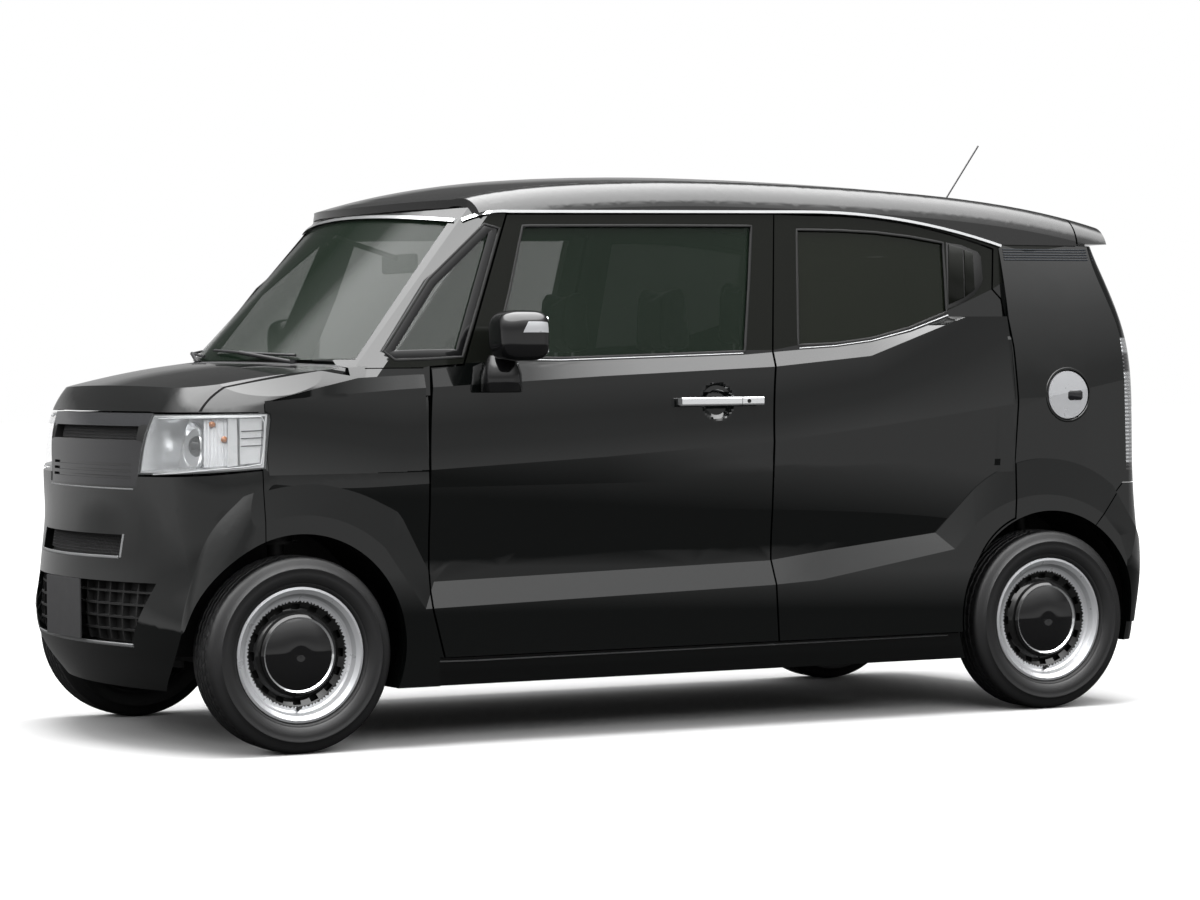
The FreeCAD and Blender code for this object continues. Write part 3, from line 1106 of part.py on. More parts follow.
def build_running_gear():
    for end, x in (("front", FRONT_AXLE), ("rear", REAR_AXLE)):
        wheel = rim(x)
        tyre = revolved(TYRE_SECTION, WHEEL_Y, x, HUB_Z)
        save_pair("%s_wheel" % end, wheel)
        save_pair("%s_tyre" % end, tyre)
    save_pair("knuckle", knuckle())
    save("front_subframe", subframe())
    save("rear_axle", largest(rear_axle()))
    engine = box(1095.0, 1430.0, -300.0, 330.0, 330.0, 880.0)
    save("engine", engine)
    tank = box(-420.0, 320.0, -360.0, 360.0, 182.0, FLOOR_Z - FLOOR_T - 0.3)
    save("fuel_tank", tank.makeFillet(24.0, [e for e in tank.Edges if e.BoundBox.ZLength > 50.0]))
    muffler_top = REAR_FLOOR_Z - 20.0 - 0.3
    muffler = box(-1570.0, -1400.0, -330.0, 250.0, muffler_top - 138.0, muffler_top)
    muffler = muffler.makeFillet(50.0, [e for e in muffler.Edges if e.BoundBox.YLength > 300.0])
    pipe = rod(V(-1520.0, -240.0, 340.0), V(-1606.0, -240.0, 240.0), 18.0)
    lead = rod(V(-1410.0, 40.0, 350.0), V(-1000.0, 40.0, 352.0), 20.0)
    save("exhaust", muffler.fuse(pipe).fuse(lead))


if __name__ == "__main__":
    build()
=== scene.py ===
import math

import bpy
import bmesh
from mathutils import Matrix, Vector
from mathutils.bvhtree import BVHTree


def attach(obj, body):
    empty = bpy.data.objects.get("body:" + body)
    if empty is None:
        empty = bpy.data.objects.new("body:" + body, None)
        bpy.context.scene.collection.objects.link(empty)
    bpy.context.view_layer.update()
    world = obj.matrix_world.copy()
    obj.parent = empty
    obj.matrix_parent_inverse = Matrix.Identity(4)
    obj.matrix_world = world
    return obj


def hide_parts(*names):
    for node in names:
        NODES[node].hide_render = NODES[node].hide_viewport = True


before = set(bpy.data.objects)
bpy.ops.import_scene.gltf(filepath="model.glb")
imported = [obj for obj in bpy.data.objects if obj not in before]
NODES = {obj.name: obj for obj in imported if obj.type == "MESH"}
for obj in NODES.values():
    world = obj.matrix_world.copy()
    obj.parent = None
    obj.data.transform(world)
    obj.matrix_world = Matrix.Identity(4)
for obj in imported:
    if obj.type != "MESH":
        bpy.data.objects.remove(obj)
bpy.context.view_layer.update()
MM = 0.001
AXLES = {"front": 1250, "rear": -1270}
WHEEL_Y, WHEEL_Z = 652.5, 278
SIDES = {"left": 1, "right": -1}


# -------- materials
WAVE_BAND = 0.314  # metres from band to band of a wave texture of scale 1


def add_node(owner, kind, sockets=None, output=0, **settings):
    """A shader node with its inputs set or linked; returns one of its outputs, if it has any."""
    node = owner.node_tree.nodes.new("ShaderNode" + kind)
    for key, value in settings.items():
        setattr(node, key, value)
    for key, value in (sockets or {}).items():
        if isinstance(value, bpy.types.NodeSocket):
            owner.node_tree.links.new(value, node.inputs[key])
        else:
            node.inputs[key].default_value = value
    return node.outputs[output] if node.outputs else None


def add_ramp(owner, factor, stops):
    """A colour ramp over a factor; stops are (position, colour) rows."""
    color_out = add_node(owner, "ValToRGB", {"Fac": factor})
    points = color_out.node.color_ramp.elements
    while len(points) < len(stops):
        points.new(0.5)
    for point, (place, color) in zip(points, stops):
        point.position = place
        point.color = (*color, 1)
    return color_out


def new_material(name, color, rough=0.5, metal=0, **sockets):
    """A material with one Principled shader; the rest of its look is added to its nodes."""
    mat = bpy.data.materials.new(name)
    mat.use_nodes = True
    inputs = mat.node_tree.nodes["Principled BSDF"].inputs
    inputs["Base Color"].default_value = (*color, 1)
    inputs["Roughness"].default_value = rough
    inputs["Metallic"].default_value = metal
    for key, value in sockets.items():
        inputs[key.replace("_", " ")].default_value = value
    return mat


def feed(mat, socket, source):
    """Links a node's output to a socket of the material's shader."""
    mat.node_tree.links.new(source, mat.node_tree.nodes["Principled BSDF"].inputs[socket])


def own_place(mat):
    return add_node(mat, "TexCoord", None, "Object")


def noise(mat, scale, detail=3, stretch=(1, 1, 1)):
    """Noise in the piece's own coordinates; returns its factor socket."""
    place = add_node(mat, "Mapping", {"Vector": own_place(mat), "Scale": stretch})
    return add_node(mat, "TexNoise", {"Vector": place, "Scale": scale, "Detail": detail}, "Fac")


def ribs(mat, axis, pitch):
    """Straight ribs across one of the piece's own axes, pitch in metres."""
    return add_node(mat, "TexWave", {"Vector": own_place(mat), "Scale": WAVE_BAND / pitch}, "Fac",
                    bands_direction=axis)


def spread(owner, value, low, high, most=1):
    """Factor that runs from 0 to most while a value runs from low to high."""
    return add_node(owner, "MapRange",
                    {"Value": value, "From Min": low, "From Max": high, "To Max": most})


def add_bump(mat, relief, strength, distance):
    feed(mat, "Normal", add_node(mat, "Bump", {"Height": relief, "Strength": strength,
                                               "Distance": distance}))


def vary(mat, socket, factor, low, high):
    """Moves one shader socket between two values by a factor."""
    feed(mat, socket, add_node(mat, "MapRange", {"Value": factor, "To Min": low, "To Max": high}))


def vary_color(mat, factor, low, high):
    feed(mat, "Base Color", add_ramp(mat, factor, [(0.35, low), (0.65, high)]))


def paint_material(name, low, high, rough, coat=1):
    """Painted panel: fine flakes under a clear coat."""
    mat = new_material(name, low, rough, 0, Coat_Weight=coat, Coat_Roughness=0.02,
                       Specular_IOR_Level=0.03)
    vary_color(mat, noise(mat, 900, 1), low, high)
    vary(mat, "Roughness", noise(mat, 3), rough - 0.04, rough + 0.04)
    return mat


def plastic_material(name, color, rough, grain=0.25):
    mat = new_material(name, color, rough)
    add_bump(mat, noise(mat, 1400, 2), grain, 0.0004)
    vary(mat, "Roughness", noise(mat, 20), rough - 0.06, rough + 0.06)
    return mat


def metal_material(name, color, low, high, grain=40, metal=1):
    mat = new_material(name, color, low, metal)
    vary(mat, "Roughness", noise(mat, grain), low, high)
    vary_color(mat, noise(mat, 6), tuple(0.93 * c for c in color), color)
    return mat


def glass_material(name, low, high, alpha, coat=0.6, level=0.45):
    """Tinted glass; the tint varies a little over the pane."""
    mat = new_material(name, low, 0.02, 0, Alpha=alpha, Coat_Weight=coat, Coat_Roughness=0.01,
                       Specular_IOR_Level=level)
    vary_color(mat, noise(mat, 1.5), low, high)
    mat.surface_render_method = "BLENDED"
    return mat


def fabric_material(name, low, high, weave=620):
    mat = new_material(name, low, 0.9, 0, Sheen_Weight=0.35)
    add_bump(mat, noise(mat, weave, 2, (1, 1, 0.5)), 0.6, 0.0008)
    vary_color(mat, noise(mat, weave * 0.5, 2), low, high)
    return mat


PAINT = paint_material("black_paint", (0.0016, 0.0021, 0.002), (0.0034, 0.0041, 0.0039), 0.3)
ROOF = paint_material("roof_paint", (0.004, 0.004, 0.004), (0.007, 0.007, 0.007), 0.36)
SASH = paint_material("sash_film", (0.0075, 0.0083, 0.0065), (0.0105, 0.0115, 0.0095), 0.38, 0.25)
GLOSS = paint_material("gloss_black", (0.006, 0.006, 0.006), (0.009, 0.009, 0.01), 0.14)
SMOKE = paint_material("smoked_chrome", (0.012, 0.012, 0.014), (0.018, 0.018, 0.021), 0.22)
BAR = paint_material("grille_bar", (0.045, 0.046, 0.05), (0.06, 0.061, 0.066), 0.25)
BLACK = plastic_material("black_plastic", (0.011, 0.011, 0.012), 0.45)
RUBBER = plastic_material("seal_rubber", (0.007, 0.007, 0.007), 0.55, 0.15)
# darkest matte black: the lower grille's and the keyhole's own black, and painted shade inside the
# upper grille, in the rear handle's hollow and on the drums behind the wheels
SHADE_BLACK = plastic_material("black_and_painted_shade", (0.0025, 0.0025, 0.0025), 0.7, 0.15)
TRIM = plastic_material("cabin_trim", (0.026, 0.025, 0.024), 0.6)
LINER = fabric_material("headliner", (0.095, 0.095, 0.09), (0.105, 0.105, 0.1), 400)
CARPET = fabric_material("carpet", (0.01, 0.01, 0.01), (0.02, 0.02, 0.019), 300)
CHASSIS = plastic_material("chassis_black", (0.009, 0.009, 0.009), 0.6)
CHROME = metal_material("chrome", (0.86, 0.87, 0.88), 0.05, 0.11, 40, 0.72)
SILVER = metal_material("satin_silver", (0.66, 0.67, 0.69), 0.24, 0.34, 40, 0.35)
# pale satin that paints the highlights on black-painted edges, the bumper lips and the sill; the
# window waist beads use it too
HIGHLIGHT_EDGE = metal_material("bright_edge", (0.36, 0.365, 0.37), 0.28, 0.38, 40, 0.45)
STEEL = paint_material("wheel_black", (0.01, 0.01, 0.01), (0.016, 0.016, 0.016), 0.25, 0.7)
TYRE = plastic_material("tyre_rubber", (0.012, 0.012, 0.0125), 0.52, 0.4)
CLEAR = glass_material("clear_glass", (0.014, 0.026, 0.016), (0.02, 0.034, 0.022), 0.46, 0.06, 0.2)
DARK = glass_material("privacy_glass", (0.008, 0.011, 0.006), (0.011, 0.014, 0.008), 0.86, 0, 0.25)
LENS = glass_material("lamp_lens", (0.55, 0.57, 0.58), (0.65, 0.67, 0.68), 0.1)
BOWL = metal_material("lamp_reflector", (0.7, 0.71, 0.72), 0.1, 0.24, 50, 0.45)
PALE = plastic_material("lamp_white", (0.62, 0.63, 0.64), 0.28, 0.05)
AMBER = plastic_material("amber_bulb", (0.55, 0.17, 0.02), 0.25, 0.05)
RED = plastic_material("red_reflector", (0.3, 0.01, 0.01), 0.2, 0.3)
CLOTH = fabric_material("seat_fabric", (0.02, 0.019, 0.019), (0.046, 0.045, 0.044))
THREAD = fabric_material("seat_piping", (0.01, 0.01, 0.01), (0.016, 0.016, 0.016), 900)
CAST = plastic_material("engine_casting", (0.14, 0.14, 0.14), 0.55)
EXHAUST = metal_material("exhaust_steel", (0.36, 0.34, 0.31), 0.34, 0.52, 9)
PLATE = plastic_material("blank_plate", (0.05, 0.05, 0.052), 0.4, 0.05)
MIRROR_GLASS = metal_material("mirror_glass", (0.72, 0.74, 0.75), 0.01, 0.03)
STRIPED = paint_material("ribbed_strip", (0.016, 0.02, 0.026), (0.022, 0.027, 0.034), 0.35, 0.3)
TAIL = new_material("tail_lamp", (0.5, 0.5, 0.5), 0.16, 0.3, Coat_Weight=1, Coat_Roughness=0.02)
# share of the lamp's height, colour: dark foot, clear body, dark band, clear top
TAIL_STOPS = [
    (0, (0.012, 0.012, 0.013)), (0.05, (0.012, 0.012, 0.013)), (0.06, (0.42, 0.43, 0.44)),
    (0.74, (0.5, 0.51, 0.52)), (0.75, (0.02, 0.02, 0.022)), (0.88, (0.03, 0.03, 0.032)),
    (0.89, (0.45, 0.46, 0.47))]
TAIL_FOOT, TAIL_TOP, TAIL_RIB = 0.737, 1.154, 0.012
tail_z = add_node(TAIL, "SeparateXYZ", {"Vector": own_place(TAIL)}, "Z")
feed(TAIL, "Base Color", add_ramp(TAIL, spread(TAIL, tail_z, TAIL_FOOT, TAIL_TOP), TAIL_STOPS))
add_bump(TAIL, ribs(TAIL, "Z", TAIL_RIB), 0.5, 0.003)
vary(TAIL, "Roughness", noise(TAIL, 60), 0.1, 0.24)

# looks of the CAD nodes; a name that ends in _ stands for a left and a right node
LOOKS = {
    PAINT: ["bonnet", "front_bumper", "front_wing_", "tailgate", "rear_bumper"],
    GLOSS: ["door_mirror_"],
    BLACK: ["cowl_panel", "wipers", "antenna", "steering_wheel"],
    SHADE_BLACK: ["bumper_grilles"],
    TRIM: ["dashboard", "steering_column", "inner_mirror"],
    CHASSIS: ["front_subframe", "rear_axle", "knuckle_", "fuel_tank"],
    CHROME: ["roof_mouldings", "front_door_handle_"],
    # the fuel lid is body paint; satin silver paints its bright reflection
    SILVER: ["fuel_lid"],
    TYRE: ["front_tyre_", "rear_tyre_"],
    CLEAR: ["windscreen", "quarter_glasses", "front_door_glass_"],
    DARK: ["rear_door_glass_", "tailgate_glass"],
    LENS: ["headlamp_lenses"],
    TAIL: ["tail_lamps"],
    BOWL: ["headlamp_housings"],
    CLOTH: ["front_seats", "rear_seat"],
    CAST: ["engine"],
    EXHAUST: ["exhaust"],
    PLATE: ["front_plate", "rear_plate"],
}
for look, names in LOOKS.items():
    for name in names:
        for node in [name + side for side in SIDES] if name.endswith("_") else [name]:
            NODES[node].data.materials.clear()
            NODES[node].data.materials.append(look)

FRAME_Y, FRAME_Z, FRAME_LEAN = 690, 1107, 0.18  # a point and the lean of the window frames
FRAME_DEEP = 3  # faces this near the frames' plane belong to them
BELT = [(-1146, 1330), (-1090, 1296), (-931, 1234), (-634, 1157), (-298, 1121), (438, 1099),
        (722, 1088), (990, 1084)]
RIM_RADIUS, CAP_RADIUS = 149, 114
CAP_RING = (100.5, 105.5)
GRILLE_SLOT = (878, 921)


def face_looks(node, looks, rule):
    """Gives each face of a CAD node the look that rule(centre in mm, normal) picks from looks."""
    mesh = NODES[node].data
    mesh.materials.clear()
    for look in looks:
        mesh.materials.append(look)
    for face in mesh.polygons:
        face.material_index = rule(face.center / MM, face.normal)


def side_y(z):
    """Half width of the window frames at a height."""
    return FRAME_Y - FRAME_LEAN * (z - FRAME_Z)


def belt_z(x):
    """Height of the belt line under the windows."""
    for (x0, z0), (x1, z1) in zip(BELT, BELT[1:]):
        if x <= x1:
            return z0 + (z1 - z0) * (x - x0) / (x1 - x0)
    return BELT[-1][1]


def side_panel(centre, normal):
    """Paint outside, film on the window frames, trim inside."""
    outward = normal.y * math.copysign(1, centre.y)
    if outward < -0.35:
        return 2
    framed = abs(abs(centre.y) - side_y(centre.z)) < FRAME_DEEP and centre.z > belt_z(centre.x) - 6
    return 1 if framed and outward > 0.6 else 0


def wheel_face(centre, normal):
    """Black disc, silver rim ring, bright ring round the cap, glossy cap."""
    axle = min(AXLES.values(), key=lambda x: abs(x - centre.x))
    radius = math.hypot(centre.x - axle, centre.z - WHEEL_Z)
    offset = abs(centre.y) - WHEEL_Y
    if radius > RIM_RADIUS:
        return 1 if offset > 33 else 0
    if CAP_RING[0] < radius < CAP_RING[1] and offset > 44:
        return 2
    return 3 if radius < CAP_RADIUS and offset > 41 else 0


def grille_face(centre, normal):
    """Smoked bars, paler above the slot; the darkest black paints the shade on faces that don't
    face forward and inside the slot.
    """
    if normal.x < 0.5 or GRILLE_SLOT[0] < centre.z < GRILLE_SLOT[1]:
        return 2
    return 1 if centre.z > GRILLE_SLOT[1] else 0


for side in SIDES:
    for node in ("front_door_", "rear_door_", "side_frame_"):
        face_looks(node + side, [PAINT, SASH, TRIM], side_panel)
    for axle in AXLES:
        face_looks("%s_wheel_%s" % (axle, side), [STEEL, SILVER, CHROME, GLOSS], wheel_face)
face_looks("roof_panel", [ROOF, LINER], lambda centre, normal: 1 if normal.z < -0.3 else 0)
face_looks("floor_pan", [CHASSIS, CARPET], lambda centre, normal: 1 if normal.z > 0.5 else 0)
face_looks("grille", [SMOKE, BAR, SHADE_BLACK], grille_face)


# -------- making pieces
RAY_LEAD = 60  # a ray starts this far beyond its reach
OUTSIDE_Y = 1000  # rays to the car's left side start here
FORWARD, REARWARD, DOWN = (1, 0, 0), (-1, 0, 0), (0, 0, -1)
TREES = {}


def new_object(name, data):
    obj = bpy.data.objects.new(name, data)
    bpy.context.collection.objects.link(obj)
    return obj


def make(name, verts, faces, look, rides="car_body", smooth=40):
    """A named piece from points in mm, with outward faces, that moves with a body."""
    mesh = bpy.data.meshes.new(name)
    mesh.from_pydata([Vector(v) * MM for v in verts], [], faces)
    work = bmesh.new()
    work.from_mesh(mesh)
    bmesh.ops.recalc_face_normals(work, faces=work.faces)
    work.to_mesh(mesh)
    work.free()
    mesh.materials.append(look)
    for face in mesh.polygons:
        face.use_smooth = True
    mesh.set_sharp_from_angle(angle=math.radians(smooth))
    obj = new_object(name, mesh)
    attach(obj, rides)
    return obj


def flipped(shape, sign):
    """The shape itself, or its mirror image on the right-hand side."""
    verts, faces = shape
    return [Vector((v[0], v[1] * sign, v[2])) for v in verts], faces


def make_pair(name, shape, look, body="car_body", smooth=40):
    """A left-hand shape and its mirror image; a body name that ends in _ takes the side too."""
    return {side: make("%s_%s" % (name, side), *flipped(shape, sign), look,
                       body + side if body.endswith("_") else body, smooth)
            for side, sign in SIDES.items()}


def tree_of(name):
    """Search tree, in mm, of a CAD node or of a piece made here."""
    if name not in TREES:
        mesh = (NODES.get(name) or bpy.data.objects[name]).data
        TREES[name] = BVHTree.FromPolygons([v.co / MM for v in mesh.vertices],
                                           [p.vertices for p in mesh.polygons])
    return TREES[name]


def hit(names, start, way):
    """First point of the named pieces on a ray, with the normal there, in mm."""
    found = None
    for name in names:
        place, normal, _, reach = tree_of(name).ray_cast(Vector(start), Vector(way).normalized())
        if place is not None and (found is None or reach < found[2]):
            found = (place, normal if normal.dot(way) < 0 else -normal, reach)
    return found[:2] if found else None


def hit_side(node, x, z):
    """Where a line across the car first meets a node from the left."""
    return hit([node], (x, OUTSIDE_Y, z), (0, -1, 0))


def spaced(points, step):
    """Points along a polyline, about a step apart."""
    points = [Vector(p) for p in points]
    out = []
    for a, b in zip(points, points[1:]):
        count = max(1, round((b - a).length / step))
        out += [a.lerp(b, i / count) for i in range(count)]
    return out + [points[-1]]


def laid(names, points, way, step=25, lift=0, reach=90):
    """A run along points, dropped onto the named pieces in a direction; (places, normals)."""
    way = Vector(way).normalized()
    places, normals = [], []
    for p in spaced(points, step):
        found = hit(names, p - way * (reach + RAY_LEAD), way)
        if found and (found[0] - p).length < reach:
            places.append(found[0] + found[1] * lift)
            normals.append(found[1])
    return places, normals


def quads(rows, sides, closed=False, first=0):
    """Faces between rings of points in order; closed also joins the last ring to the first."""
    faces = []
    for i in range(rows if closed else rows - 1):
        a, b = first + i * sides, first + (i + 1) % rows * sides
        for k in range(sides):
            m = (k + 1) % sides
            faces.append((a + k, a + m, b + m, b + k))
    return faces


def caps(rows, sides):
    """Faces that close the first ring and the last."""
    return [tuple(range(sides)), tuple(range((rows - 1) * sides, rows * sides))]


def bead(places, normals, wide, high, closed=False, sides=8):
    """A bead of oval section along a run: wide across it, high off the surface."""
    count = len(places)
    verts = []
    for i in range(count):
        before = places[i - 1] if i or closed else places[0]
        after = places[(i + 1) % count] if i + 1 < count or closed else places[-1]
        along = (after - before).normalized()
        off = (normals[i] - along * normals[i].dot(along)).normalized()
        across = along.cross(off)
        for k in range(sides):
            turn = 2 * math.pi * k / sides
            verts.append(places[i] + across * (wide / 2 * math.cos(turn))
                         + off * (high * math.sin(turn)))
    return verts, quads(count, sides, closed) + ([] if closed else caps(count, sides))


def join(parts):
    """Several (verts, faces) as one."""
    verts, faces = [], []
    for v, f in parts:
        faces += [tuple(i + len(verts) for i in row) for row in f]
        verts += list(v)
    return verts, faces


def turned(profile, steps, place, shift=None):
    """Turns closed (radius, offset) rows about the y axis; shift(step, row) moves a radius."""
    verts = []
    for i in range(steps):
        turn = 2 * math.pi * i / steps
        for k, (radius, offset) in enumerate(profile):
            r = radius + (shift(i, k) if shift else 0)
            verts.append(place(r * math.cos(turn), offset, r * math.sin(turn)))
    return verts, quads(steps, len(profile), True)


def bar(start, end, radius, sides=10):
    """A round bar between two points."""
    start, end = Vector(start), Vector(end)
    way = (end - start).normalized()
    aside = way.orthogonal().normalized()
    return bead([start, start.lerp(end, 0.5), end], [aside] * 3, 2 * radius, radius, False, sides)


def slab(front, depth):
    """Closes a grid of points (rows of equal length) into a sheet; depth is a vector."""
    rows, columns = len(front), len(front[0])
    flat = [p for row in front for p in row]
    verts = flat + [p + depth for p in flat]
    size = len(flat)
    faces = []
    for i in range(rows - 1):
        for k in range(columns - 1):
            a = i * columns + k
            quad = (a, a + 1, a + columns + 1, a + columns)
            faces += [quad, tuple(v + size for v in reversed(quad))]
    ring = ([k for k in range(columns)] + [i * columns + columns - 1 for i in range(1, rows)]
            + [(rows - 1) * columns + k for k in range(columns - 2, -1, -1)]
            + [i * columns for i in range(rows - 2, 0, -1)])
    for a, b in zip(ring, ring[1:] + ring[:1]):
        faces.append((a, b, b + size, a + size))
    return verts, faces


def plate(outline, plane, raise_by, thick, rim=2):
    """A flat panel with a bevelled rim on an x-z outline; plane(x, z) gives its y."""
    size = len(outline)
    middle = (sum(p[0] for p in outline) / size, sum(p[1] for p in outline) / size)
    verts = []
    for inward, out in ((0, -thick), (0, raise_by - rim * 0.6), (rim, raise_by)):
        for x, z in outline:
            shrink = 1 - inward / math.hypot(x - middle[0], z - middle[1])
            px, pz = middle[0] + (x - middle[0]) * shrink, middle[1] + (z - middle[1]) * shrink
            verts.append(Vector((px, plane(px, pz) + out, pz)))
    return verts, caps(3, size) + quads(3, size)


def stack(levels, x0, x1, y0, y1, cut=30):
    """A moulded base: octagons at each (height, inset)."""
    verts = []
    for z, inset in levels:
        a, b, c, d = x0 + inset, x1 - inset, y0 + inset, y1 - inset
        verts += [Vector((x, y, z)) for x, y in (
            (a + cut, c), (b - cut, c), (b, c + cut), (b, d - cut), (b - cut, d), (a + cut, d),
            (a, d - cut), (a, c + cut))]
    return verts, quads(len(levels), 8) + caps(len(levels), 8)


# -------- tyres
TREAD_STEPS = 240
GROOVES = (-33, -11, 11, 33)
GROOVE_HALF, GROOVE_DEEP = 3.6, 6.5


def tyre_profile():
    """Radius, offset rows right round the section."""
    wall = [(192, 55), (196, 65.5), (199, 67.4), (202, 67.6), (204, 69.6), (206, 71), (216, 75.4),
            (228, 77.2), (238, 76.8), (240, 77.9), (243.5, 77.8), (246, 75), (255, 71.6),
            (263, 68.6), (268.5, 66.2), (272.5, 63), (275.5, 58), (276.4, 53), (276.6, 48)]
    tread = [(276.9, 41)]
    for y in reversed(GROOVES):
        edge = 277.8 - 0.0006 * y * y
        tread += [(edge, y + GROOVE_HALF), (edge - GROOVE_DEEP, y + GROOVE_HALF - 1.4),
                  (edge - GROOVE_DEEP, y - GROOVE_HALF + 1.4), (edge, y - GROOVE_HALF)]
    tread.append((276.9, -41))
    bead_seat = [(178.6, -51), (178.6, 51)]
    return wall + tread + [(r, -w) for r, w in reversed(wall)] + bead_seat


PROFILE = tyre_profile()


def tread_cut(step, row):
    """Cross grooves in the shoulders and fine cuts in the middle ribs."""
    radius, offset = PROFILE[row]
    if radius < 271:
        return 0
    if abs(offset) > 37:
        return -3.5 if step % 5 == 0 and abs(offset) < 50 else 0
    if radius < 273:
        return 0
    phase = step + (2 if offset > 0 else 0)
    return -2.4 if phase % 5 == 0 else 0


VALVE_Y, VALVE_DOWN = 32, 153  # foot of the valve, from the middle of the wheel
DRUM = [(118, 8), (143, 8), (148, 3), (148, -26), (144, -30), (118, -30)]
for axle, x in AXLES.items():
    for side, sign in SIDES.items():
        def on_wheel(a, w, b):
            return Vector((x + a, sign * (WHEEL_Y + w), WHEEL_Z + b))

        name = "%s_tyre_%s" % (axle, side)
        body = "%s_wheel_%s" % (axle, side)
        tyre = make(name + "_tread", *turned(PROFILE, TREAD_STEPS, on_wheel, tread_cut), TYRE,
                    body, 32)
        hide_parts(name)
        foot = on_wheel(0, VALVE_Y, -VALVE_DOWN)
        stem = [bar(foot, foot + Vector((0, sign * 9, 1)), 5.5),
                bar(foot + Vector((0, sign * 8, 1)), foot + Vector((0, sign * 27, 5)), 3.4)]
        make(body + "_valve", *join(stem), RUBBER, body)
        # the drum's darkest black paints the shade behind the wheel's slots
        make(body + "_drum", *turned(DRUM, 72, on_wheel), SHADE_BLACK, body)

# -------- windows
# x, z of the glass edges
WINDOWS = {
    "front_door": [(498.5, 1486), (120, 1490), (-265.5, 1493), (-233, 1308), (-201.5, 1123),
                   (100, 1115), (418.5, 1107), (627.5, 1112), (556.5, 1300)],
    "rear_door": [(-427.5, 1485), (-570, 1482), (-700, 1477), (-825, 1465), (-941.5, 1448),
                  (-935, 1340), (-929.5, 1239), (-790, 1192), (-650, 1160), (-520, 1145),
                  (-393.5, 1138)],
    "quarter": [(621.5, 1490), (579.5, 1482), (655, 1297), (731.5, 1112), (840, 1108),
                (941.5, 1106), (972.5, 1126), (813.5, 1330)],
}
LOWER_EDGES = {
    "front_door": [(-196, 1113), (100, 1105), (418.5, 1097), (640, 1101)],
    "rear_door": [(-935, 1226), (-790, 1180), (-650, 1149), (-520, 1134), (-392, 1127)],
}


def grown(points, by):
    """The outline moved outward by a distance."""
    middle = Vector((sum(p[0] for p in points), sum(p[1] for p in points))) / len(points)
    out = []
    for i, p in enumerate(points):
        before, after = Vector(points[i - 1]), Vector(points[(i + 1) % len(points)])
        along = (after - before).normalized()
        off = Vector((along.y, -along.x))
        if off.dot(Vector(p) - middle) < 0:
            off.negate()
        out.append(Vector(p) + off * by)
    return out


def on_frame(points, lift=0):
    """Places and outward normals of x-z points on the left window frames' plane."""
    tilt = Vector((0, 1, FRAME_LEAN)).normalized()
    return [Vector((x, side_y(z), z)) + tilt * lift for x, z in points], [tilt] * len(points)


def flat_run(points, step=22, closed=True):
    """An x-z outline, or an open line, as closely spaced points."""
    points = list(points) + (list(points[:1]) if closed else [])
    run = spaced([(x, z, 0) for x, z in points], step)
    return [(p.x, p.y) for p in (run[:-1] if closed else run)]


for window, points in WINDOWS.items():
    seal = bead(*on_frame(flat_run(grown(points, 4)), -1), 9, 3, True)
    make_pair(window + "_seal", seal, RUBBER, "car_body" if window == "quarter" else window + "_")
border = bead(*on_frame(flat_run(grown(WINDOWS["quarter"], -11), 18), -2.5), 26, 1.2, True)
make_pair("quarter_border", border, GLOSS)
for window, points in LOWER_EDGES.items():
    waist = bead(*on_frame(flat_run(points, 30, False), 0.5), 5, 2.6)
    make_pair(window + "_waist", waist, HIGHLIGHT_EDGE, window + "_")

# -------- pressed skins of the doors and wings
# x, crease z, crease y, shoulder z, shoulder y, belt z
SKIN_SECTIONS = [(1337.5, 778, 728, 990, 701, 1055), (937.5, 784, 729, 1018, 712.5, 1085),
                 (287.5, 815, 729, 1050, 712, 1104), (-292.5, 851, 728, 1073, 711, 1121),
                 (-632.5, 888, 728, 1103, 708, 1157), (-912.5, 922, 727, 1198, 697, 1230),
                 (-1146.5, 952, 725, 1281, 684, 1316)]
WAIST = LOWER_EDGES["rear_door"] + LOWER_EDGES["front_door"] + [(700, 1130)]
WING_TOP = [(880, 1060), (1060, 1052), (1200, 1022), (1340, 990)]
CUP_X, CUP_Z, CUP_RADIUS, CUP_DEEP = -93.5, 972, 54, 24  # the handle's cup
SKIN_THICK, SKIN_GAP = 3, 0.5  # the skin, and its least distance from the panel
SKIN_INSET = 0.6  # from the panel's shut line to the skin's edge
FLANK_HOLLOW = 10  # how far the flank's curve is pulled in
OUTER_FACE_Y = 640  # what lies further in is not a panel's outer face
LOW_EDGE_Y = 721.5  # half width at the low edge where the panel has none


def between(rows, x):
    """Row of numbers at x between rows that start with x, in either order."""
    rows = sorted(rows)
    x = min(max(x, rows[0][0]), rows[-1][0])
    for a, b in zip(rows, rows[1:]):
        if x <= b[0]:
            share = (x - a[0]) / (b[0] - a[0])
            return [p + (q - p) * share for p, q in zip(a[1:], b[1:])]
    return list(rows[-1][1:])


def skin_y(x, z, low, top, low_y, top_y):
    """Half width of the pressed panel: crease, hollow flank, shoulder, then in to the belt."""
    crease_z, crease_y, shoulder_z, shoulder_y, _ = between(SKIN_SECTIONS, x)
    if z >= shoulder_z:
        share = min(1, (z - shoulder_z) / max(1, top - shoulder_z))
        return shoulder_y + (top_y - shoulder_y) * share
    if z >= crease_z:
        t = (z - crease_z) / (shoulder_z - crease_z)
        pull = 0.5 * (crease_y + shoulder_y) - FLANK_HOLLOW
        return crease_y * (1 - t) ** 2 + 2 * t * (1 - t) * pull + shoulder_y * t * t
    share = min(1, max(0, (z - low) / max(20, crease_z - low)))
    return low_y + (crease_y - low_y) * share


